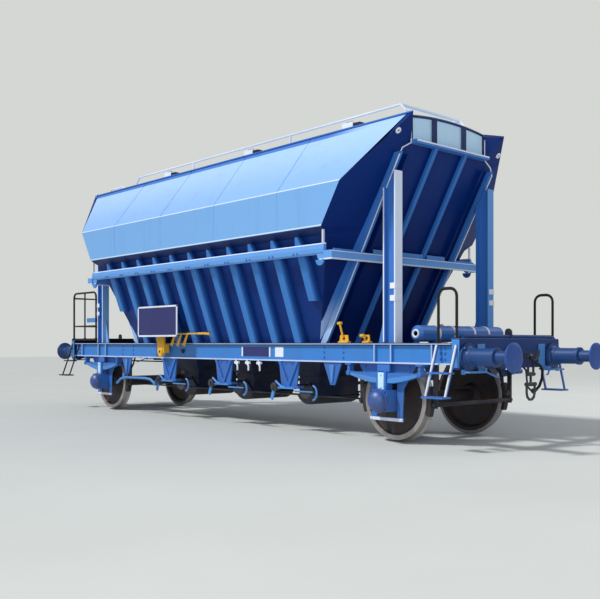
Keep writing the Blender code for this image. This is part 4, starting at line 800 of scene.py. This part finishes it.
def make_wheels():
    """Smooth wheels on a turned axle, in place of the faceted ones. Profiles are (radius, height)."""
    front = [
        (0.0, 1.09), (0.052, 1.09), (0.06, 1.08), (0.06, 0.91), (0.074, 0.905), (0.08, 0.895),
        (0.08, 0.834), (0.122, 0.832), (0.13, 0.824), (0.142, 0.80), (0.16, 0.785), (0.30, 0.775),
        (0.405, 0.762), (0.428, 0.77), (0.434, 0.80),
    ]
    back = [
        (0.486, 0.682), (0.44, 0.684), (0.43, 0.70), (0.405, 0.735), (0.30, 0.745), (0.16, 0.74),
        (0.14, 0.70), (0.12, 0.665), (0.08, 0.663), (0.08, 0.0),
    ]
    tyre = [
        (0.434, 0.80), (0.44, 0.813), (0.493, 0.8132), (0.4975, 0.810), (0.4985, 0.78), (0.50, 0.735),
        (0.502, 0.718), (0.512, 0.708), (0.525, 0.703), (0.5298, 0.697), (0.528, 0.690),
        (0.515, 0.6835), (0.486, 0.6818),
    ]
    for end, label in END_NAMES.items():
        body, tyres = Shape(), Shape()
        for turn in (0, math.pi):
            place = Matrix.Translation((end * WHEEL_PLACE, 0, AXLE_Z))
            matrix = place @ Matrix.Rotation(turn, 4, "Z") @ Matrix.Rotation(math.pi / 2, 4, "X")
            body.turned(front, matrix, 72, caps=False)
            body.turned(back, matrix, 72, caps=False)
            tyres.turned(tyre, matrix, 72, caps=False)
        wheels = add(f"turned_wheels_{label}", body, "wheel", f"wheelset_{label}")
        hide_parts(f"wheelset_{label}")
        add(f"wheel_treads_{label}", tyres, "tread", f"wheelset_{label}")


def make_axle_details():
    """Axlebox covers, guard ties, spring buckles, bows and hangers at the four corners."""
    for end, end_name in END_NAMES.items():
        for side in SIDES:
            make_axle_corner(end * WHEEL_PLACE, side, f"{end_name}_{SIDE_NAMES[side]}")


def make_axle_corner(x0, side, label):
    """The added pieces around one axlebox, at x0 along the wagon."""
    outward = Matrix.Translation((x0, side * 1.10, AXLE_Z)) @ Matrix.Rotation(-side * math.pi / 2, 4, "X")
    dome = [(0.145, 0.0), (0.15, 0.012), (0.145, 0.03)]
    dome += [(0.132 * x, 0.032 + 0.098 * z) for x, z in circle((0, 0), 1, 0, 84, 7)]
    dome += [(0.0, 0.1305)]
    cover = Shape().turned(dome, outward, 40)
    corners = [(x0 + dx, side * 1.11, AXLE_Z + dz) for dx in (-0.118, 0.118) for dz in (-0.118, 0.118)]
    cover.bolts(corners, (0, side, 0), 0.013, 0.014)
    add(f"axlebox_cover_{label}", cover, "dome")

    tie = Shape().box((x0 - 0.265, x0 + 0.265), (side * 0.957, side * 0.968), (0.28, 0.318))
    tie.bolts([(x0 + dx, side * 0.968, 0.299) for dx in (-0.245, 0.245)], (0, side, 0), 0.013, 0.012)
    add(f"guard_tie_{label}", tie, "white", bevel=0.002)

    buckle = Shape().box((x0 - 0.046, x0 + 0.046), (side * 1.045, side * 1.068), (0.665, 0.872))
    buckle.bolts([(x0, side * 1.068, z) for z in (0.69, 0.845)], (0, side, 0), 0.014, 0.010)
    add(f"spring_buckle_{label}", buckle, "light", bevel=0.004)

    bow, gear = Shape(), Shape()
    gear.box((x0 - 0.08, x0 + 0.08), (side * 1.045, side * 1.062), (0.70, 0.76))
    gear.box((x0 - 0.10, x0 + 0.10), (side * 0.985, side * 1.02), (0.88, 0.974))
    for way in (-1, 1):
        gear.box((x0 + way * 0.052, x0 + way * 0.075), (side * 0.94, side * 1.06), (0.655, 0.885))
        half = [(0.60, 0.846), (0.50, 0.815), (0.40, 0.788), (0.30, 0.765), (0.19, 0.748), (0.08, 0.742)]
        half += [(0.08, 0.80), (0.58, 0.862)]
        bow.plate([(x0 + way * x, z) for x, z in half], side * 0.9585, side * 1.0415)
        hang = x0 + way * 0.58
        eye = [(0.028, -0.055), (0.034, -0.05), (0.034, 0.05), (0.028, 0.055)]
        gear.turned(eye, across((hang, side * 1.0, 0.855)), 20)
        gear.box((hang - 0.05, hang + 0.05), (side * 0.95, side * 1.05), (0.955, 0.979))
        guard_x = x0 + way * 0.36
        gear.bolts([(guard_x, side * 0.952, z) for z in (0.88, 0.94)], (0, side, 0), 0.013, 0.012)
    add(f"spring_bow_{label}", bow, "bright", bevel=0.002)
    add(f"spring_hangers_{label}", gear, "mid", bevel=0.003)


ROD_Z = 0.49


def make_brakes():
    """Blocks, hangers, beams and pull rods of the brake, clear of wheels and gates."""
    blocks, gear = Shape(), Shape()
    for end in ENDS:
        for along in (-1, 1):
            x0 = end * WHEEL_PLACE
            hang_x = x0 + along * 0.60
            middle = 0 if along > 0 else 180
            inner = circle((x0, AXLE_Z), 0.512, middle - 19, middle + 19, 8)
            outer = circle((x0, AXLE_Z), 0.562, middle + 19, middle - 19, 8)
            for side in SIDES:
                blocks.plate(inner + outer, side * 0.722, side * 0.80)
                gear.box((hang_x - 0.028, hang_x + 0.028), (side * 0.745, side * 0.775), (0.45, 1.0))
            gear.bar([(hang_x, -0.80, ROD_Z), (hang_x, 0.80, ROD_Z)], 0.026, 12)
    for side in SIDES:
        gear.bar([(-2.88, side * 0.56, ROD_Z), (2.88, side * 0.56, ROD_Z)], 0.014, 10)
        gear.bar([(-4.06, side * 0.45, 0.90), (-2.3, side * 0.45, 0.90)], 0.012, 10)
    add("brake_blocks", blocks, "wheel", bevel=0.003)
    add("brake_gear", gear, "dark", bevel=0.003)


def make_bay_gear():
    """Levers, links and quadrants by the hangers of each bay, with handles between them."""
    for side, label in SIDE_NAMES.items():
        light, knobs, dark = Shape(), Shape(), Shape()
        y = side * 1.045
        for x in BAYS:
            foot = x + 0.25
            light.box((foot - 0.20, foot + 0.16), (side * 1.012, side * 1.06), (0.600, 0.622))
            crank = [(x - 0.05, 0.60), (x - 0.10, 0.45), (x - 0.055, 0.43), (x + 0.01, 0.60)]
            light.plate(crank, side * 1.036, side * 1.054)
            light.bar([(foot - 0.24, y, 0.70), (foot - 0.12, y, 0.625), (foot - 0.04, y, 0.615)], 0.017, 10)
            light.bar([(foot + 0.16, y, 0.575), (foot + 0.52, y, 0.575)], 0.011, 10)
            ring = circle((foot + 0.50, 0.565), 0.10, -75, 75, 12)
            light.bar([(px, y, pz) for px, pz in ring], 0.014, 10)
            cap = [(0.052, -0.03), (0.06, -0.02), (0.06, 0.02), (0.052, 0.03)]
            dark.turned(cap, across((x, side * 1.06, SHAFT_Z)), 24)
            dark.bolts([(x, side * 1.085, SHAFT_Z)], (0, side, 0), 0.024, 0.018)
            dark.plate(circle((foot + 0.36, 0.60), 0.12, 190, 350, 10), side * 1.02, side * 1.034)
        for x in (0.60, 0.86, 1.12):
            knobs.bar([(x, y, 0.99), (x, y, 0.93), (x + 0.03, y, 0.90), (x + 0.03, y, 0.83)], 0.013, 10)
            knobs.box((x - 0.045, x + 0.05), (side * 1.02, side * 1.05), (0.925, 0.962))
        arch = [(-2.83, 0.52), (-2.70, 0.60), (-2.55, 0.63), (-1.90, 0.635), (-1.72, 0.62), (-1.56, 0.54)]
        light.bar([(px, side * 1.075, pz) for px, pz in arch], 0.022, 12)
        light.box((-1.60, -1.55), (side * 1.02, side * 1.10), (0.52, 0.60))
        light.box((-2.62, -2.56), (side * 1.01, side * 1.09), (0.60, 0.70))
        for x in (-2.6, 2.6):
            face = side * HANGER_FACE
            wedge = [(x - 0.045, 0.95), (x + 0.045, 0.95), (x + 0.012, 0.72), (x - 0.012, 0.72)]
            light.plate(wedge, face, face + side * 0.02)
        add(f"bay_levers_{label}", light, "bright", bevel=0.002)
        add(f"bay_handles_{label}", knobs, "white", bevel=0.002)
        add(f"bay_shaft_caps_{label}", dark, "dark", bevel=0.002)


def make_buffer_details():
    """Smooth buffers with sleeves, collars and bolted base plates, in place of the faceted ones."""
    body = [
        (0.158, 0.004), (0.16, 0.006), (0.16, 0.026), (0.125, 0.030), (0.11, 0.045), (0.108, 0.08),
        (0.1, 0.09), (0.098, 0.36), (0.108, 0.365), (0.108, 0.40), (0.096, 0.405), (0.072, 0.406),
        (0.070, 0.55), (0.085, 0.567), (0.15, 0.59), (0.162, 0.598),
    ]
    head = [(0.162, 0.596), (0.1655, 0.602), (0.1655, 0.612), (0.158, 0.6195), (0.12, 0.6292), (0.0, 0.6298)]
    for end, end_name in END_NAMES.items():
        for side in SIDES:
            label = f"{end_name}_{SIDE_NAMES[side]}"
            y0 = side * BUFFER_Y
            matrix = Matrix.Translation((end * FRAME_END, y0, BUFFER_Z))
            matrix @= Matrix.Rotation(end * math.pi / 2, 4, "Y")
            shape = Shape().turned(body, matrix, 56)
            plate_x = end * (FRAME_END + 0.026)
            corners = [(plate_x, y0 + dy, BUFFER_Z + dz) for dy in (-0.098, 0.098) for dz in (-0.098, 0.098)]
            shape.bolts(corners, (end, 0, 0), 0.016, 0.018)
            barrel = add(f"buffer_body_{label}", shape, "buffer")
            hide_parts(f"buffer_{label}")
            add(f"buffer_head_{label}", Shape().turned(head, matrix, 56), "head")


def make_coupling_details():
    """Draw hook plate bolts, lifting lug, parked hoses, uncoupling bars and lamp brackets."""
    for end, label in END_NAMES.items():
        def out(depth, end=end):
            """A place along X, this far out from the headstock's face."""
            return end * (FRAME_END + depth)

        dark, hoses, light = Shape(), Shape(), Shape()
        corners = [(out(0.026), dy, HOOK_Z + dz) for dy in (-0.082, 0.082) for dz in (-0.082, 0.082)]
        dark.bolts(corners, (end, 0, 0), 0.016, 0.016)
        lug = [(-0.05, 1.281), (0.05, 1.281), *circle((0.0, 1.36), 0.045, 0, 180, 10)]
        dark.plate([(out(-0.05) + x, z) for x, z in lug], -0.014, 0.014)
        eye = [(0.016, -0.017), (0.026, -0.017), (0.026, 0.017), (0.016, 0.017)]
        dark.turned(eye, across((out(-0.05), 0, 1.36)), 20)
        for side in SIDES:
            cock = [(0.02, 0.42, 0.985), (0.06, 0.42, 0.985), (0.10, 0.44, 0.96)]
            hose = [(0.10, 0.44, 0.96), (0.135, 0.445, 0.90), (0.145, 0.42, 0.80)]
            hose += [(0.14, 0.37, 0.71), (0.125, 0.32, 0.66), (0.12, 0.30, 0.655)]
            head = [(0.122, 0.312, 0.66), (0.118, 0.25, 0.645)]
            claw = [(0.125, 0.262, 0.62), (0.112, 0.262, 0.68)]
            holder = [(-0.02, 0.25, 0.945), (0.03, 0.25, 0.90), (0.05, 0.25, 0.70)]
            holder += [(0.112, 0.25, 0.645)]
            rod = [(0.03, 0.98, 0.90), (0.09, 0.96, 0.90), (0.10, 0.66, 0.90)]
            rod += [(0.15, 0.54, 0.845), (0.16, 0.50, 0.845)]
            for shape, path, radius, steps in (
                (dark, cock, 0.02, 12), (hoses, hose, 0.017, 12), (dark, head, 0.024, 12),
                (dark, claw, 0.014, 10), (dark, holder, 0.012, 8), (light, rod, 0.011, 10),
            ):
                shape.bar([(out(x), side * y, z) for x, y, z in path], radius, steps)
            light.box((out(0.002), out(0.034)), (side * 0.955, side * 1.0), (0.875, 0.93))
            light.box((out(0.002), out(0.10)), (side * 0.64, side * 0.675), (0.89, 0.945))
            light.box((out(0.002), out(0.012)), (side * 0.56, side * 0.70), (0.94, 1.22))
            light.box((out(-0.10), out(0.004)), (side * 1.028, side * 1.036), (0.95, 1.27))
        cap_z = (HEADSTOCK_TOP - 0.0005, HEADSTOCK_TOP + 0.003)
        light.box((out(-0.118), out(0.004)), (-1.028, 1.028), cap_z)
        add(f"draw_details_{label}", dark, "dark", bevel=0.002)
        add(f"brake_hoses_{label}", hoses, "rubber")
        add(f"uncoupling_bars_{label}", light, "bright", bevel=0.002)


def make_levers():
    """Yellow levers over the sole bar and the change-over handles at the front."""
    for side, label in SIDE_NAMES.items():
        yellow, dark = Shape(), Shape()
        y = side * 1.116
        yellow.bar([(-0.28, y, 1.376), (-0.10, y, 1.376), (0.03, y, 1.366)], 0.019, 12)
        yellow.box((-1.30, -0.96), (side * 1.08, side * 1.13), (1.345, 1.392))
        cam = [(-1.42, 1.36), (-1.48, 1.32), (-1.44, 1.24), (-1.38, 1.24), (-1.22, 1.36)]
        yellow.plate(cam, side * 1.085, side * 1.125)
        for x in (-0.92, -0.74, -0.57):
            yellow.bar([(x, y, 1.37), (x - 0.10, y, 1.22), (x - 0.13, y, 1.20)], 0.013, 10)
        disc = [(0.058, -0.02), (0.066, -0.012), (0.066, 0.012), (0.058, 0.02)]
        yellow.turned(disc, across((-1.32, side * 1.13, 1.09)), 28)
        for x in (-1.38, -1.26):
            yellow.bar([(x, side * 1.125, 1.34), (x - 0.01, side * 1.125, 1.10)], 0.015, 10)
        dark.bolts([(-1.32, side * 1.14, 1.09), (-1.13, side * 1.131, 1.368)], (0, side, 0), 0.02, 0.016)
        knob = [(0.02, -0.02), (0.035, -0.01), (0.035, 0.01), (0.02, 0.02)]
        dark.turned(knob, across((-0.86, side * 1.01, 1.10)), 20)
        foot = SOLE_TOP + 0.002
        for x, top, wide in ((2.80, 1.50, 0.085), (3.20, 1.34, 0.055)):
            narrow = wide * 0.8
            yellow.box((x - wide, x + wide), (side * 0.955, side * 1.025), (foot, foot + 0.02))
            head = foot + 0.10
            bracket = [(x - wide, foot), (x + wide, foot), (x + narrow, head), (x - narrow, head)]
            yellow.plate(bracket, side * 0.985, side * 1.0)
            yellow.bar([(x, side * 1.012, foot + 0.06), (x - 0.04, side * 1.03, top - 0.03)], 0.013, 10)
            grip = [(x - 0.075, side * 1.032, top - 0.02), (x - 0.01, side * 1.032, top - 0.015)]
            yellow.bar(grip, 0.02, 12)
            dark.bolts([(x, side * 1.0, foot + 0.06)], (0, side, 0), 0.016, 0.014)
        add(f"lever_grips_{label}", yellow, "yellow", bevel=0.002)
        add(f"lever_pins_{label}", dark, "dark", bevel=0.002)


def make_platform_details():
    """Deck ribs, step boards between the posts, and foot plates under rails and hoops."""
    board, ribs = Shape(), Shape()
    for side in SIDES:
        board.box((-4.12, -3.72), (side * 0.955, side * 0.99), (1.62, 1.70))
    for i in range(23):
        y = -0.99 + i * 0.09
        ribs.box((-4.60, -3.74), (y - 0.006, y + 0.006), (DECK_TOP - 0.0005, DECK_TOP + 0.0055))
    feet = [(-4.59, 0.4, DECK_TOP - 0.001)]
    feet += [(x, 1.012, DECK_TOP - 0.001) for x in (-4.59, -4.154, -3.716)]
    feet += [(4.59, 0.994, HEADSTOCK_TOP - 0.0005), (4.33, 0.994, SOLE_TOP - 0.0005)]
    for side in SIDES:
        for x, y, z in feet:
            foot_plate = [(0.034, 0.0), (0.034, 0.008), (0.024, 0.014)]
            ribs.turned(foot_plate, Matrix.Translation((x, side * y, z)), 16)
    add("platform_boards", board, "bright", bevel=0.003)
    add("platform_ribs", ribs, "black", bevel=0.001)


def make_step_edges():
    """Pale edge strips down the outer faces of the corner steps, and a tube along the front headstock."""
    for side in SIDES:
        label = SIDE_NAMES[side]
        low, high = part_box(f"front_steps_{label}")
        edges = Shape()
        for x in (low.x + 0.012, high.x - 0.012):
            top, foot = (x, side * (SOLE_OUTER + 0.016), 1.205), (x, side * (SOLE_OUTER + 0.212), 0.63)
            edges.bar([top, foot], 0.013, 8)
        add(f"front_step_edges_{label}", edges, "white")
    tube_x = 4.618
    low_z, high_z = HEADSTOCK_TOP + 0.006, HEADSTOCK_TOP + 0.026
    path = [(tube_x, -0.96, low_z), (tube_x, -0.90, high_z), (tube_x, 0.90, high_z), (tube_x, 0.96, low_z)]
    tube = Shape().bar(path, 0.024, 14)
    foot_x, foot_z = (tube_x - 0.018, tube_x + 0.018), (HEADSTOCK_TOP - 0.004, HEADSTOCK_TOP + 0.02)
    for y in (-0.70, -0.2, 0.2, 0.70):
        tube.box(foot_x, (y - 0.02, y + 0.02), foot_z)
    add("headstock_tube", tube, "frame")


def make_tank_details():
    """Bands and end rings on the air tank, and the pipe that leaves it."""
    tank = Shape()
    axis = across(TANK_PLACE)
    x0 = TANK_PLACE[0]
    for side in SIDES:
        for place in (side * 0.50, side * 0.20):
            band = [(0.1005, -0.018), (0.104, -0.016), (0.104, 0.016), (0.1005, 0.018)]
            tank.turned([(radius, place + along) for radius, along in band], axis, 40)
        ring = [(0.03, side * 0.851), (0.036, side * 0.86), (0.05, side * 0.86), (0.056, side * 0.851)]
        tank.turned(ring, axis, 32)
    tank.bar([(x0, 0.30, 1.24), (x0, 0.30, 1.16), (3.95, 0.32, 1.12), (4.5, 0.40, 1.05)], 0.014, 10)
    add("air_tank_bands", tank, "white", bevel=0.001)


def make_bolt_rows():
    """Bolt heads where frames, hangers, guards and rails are joined."""
    bolts = Shape()
    for side in SIDES:
        out = (0, side, 0)
        for x in (-4.42, -4.36, -2.78, -2.42, 2.42, 2.78, 4.36, 4.42):
            bolts.bolts([(x, side * 0.988, z) for z in (1.04, 1.11, 1.17)], out, 0.012, 0.010)
        for x in BAYS:
            row = [(x + dx, side * 1.012, 0.945) for dx in (0.10, 0.18, 0.32, 0.40)]
            bolts.bolts(row, out, 0.012, 0.010)
        for i in range(-5, 6):
            pair = [(i * 0.485 + dx, side * 1.504, 2.36) for dx in (-0.035, 0.035)]
            bolts.bolts(pair, out, 0.010, 0.008)
        for end in ENDS:
            for x in (3.50, 3.66):
                foot = [(end * x, side * y, SOLE_TOP + 0.001) for y in (0.84, 1.018)]
                bolts.bolts(foot, (0, 0, 1), 0.012, 0.010)
    add("bolt_rows", bolts, "mid")


make_roof_details()
make_end_details()
make_side_plates()
make_wheels()
make_axle_details()
make_brakes()
make_bay_gear()
make_buffer_details()
make_coupling_details()
make_levers()
make_platform_details()
make_tank_details()
make_step_edges()
make_bolt_rows()
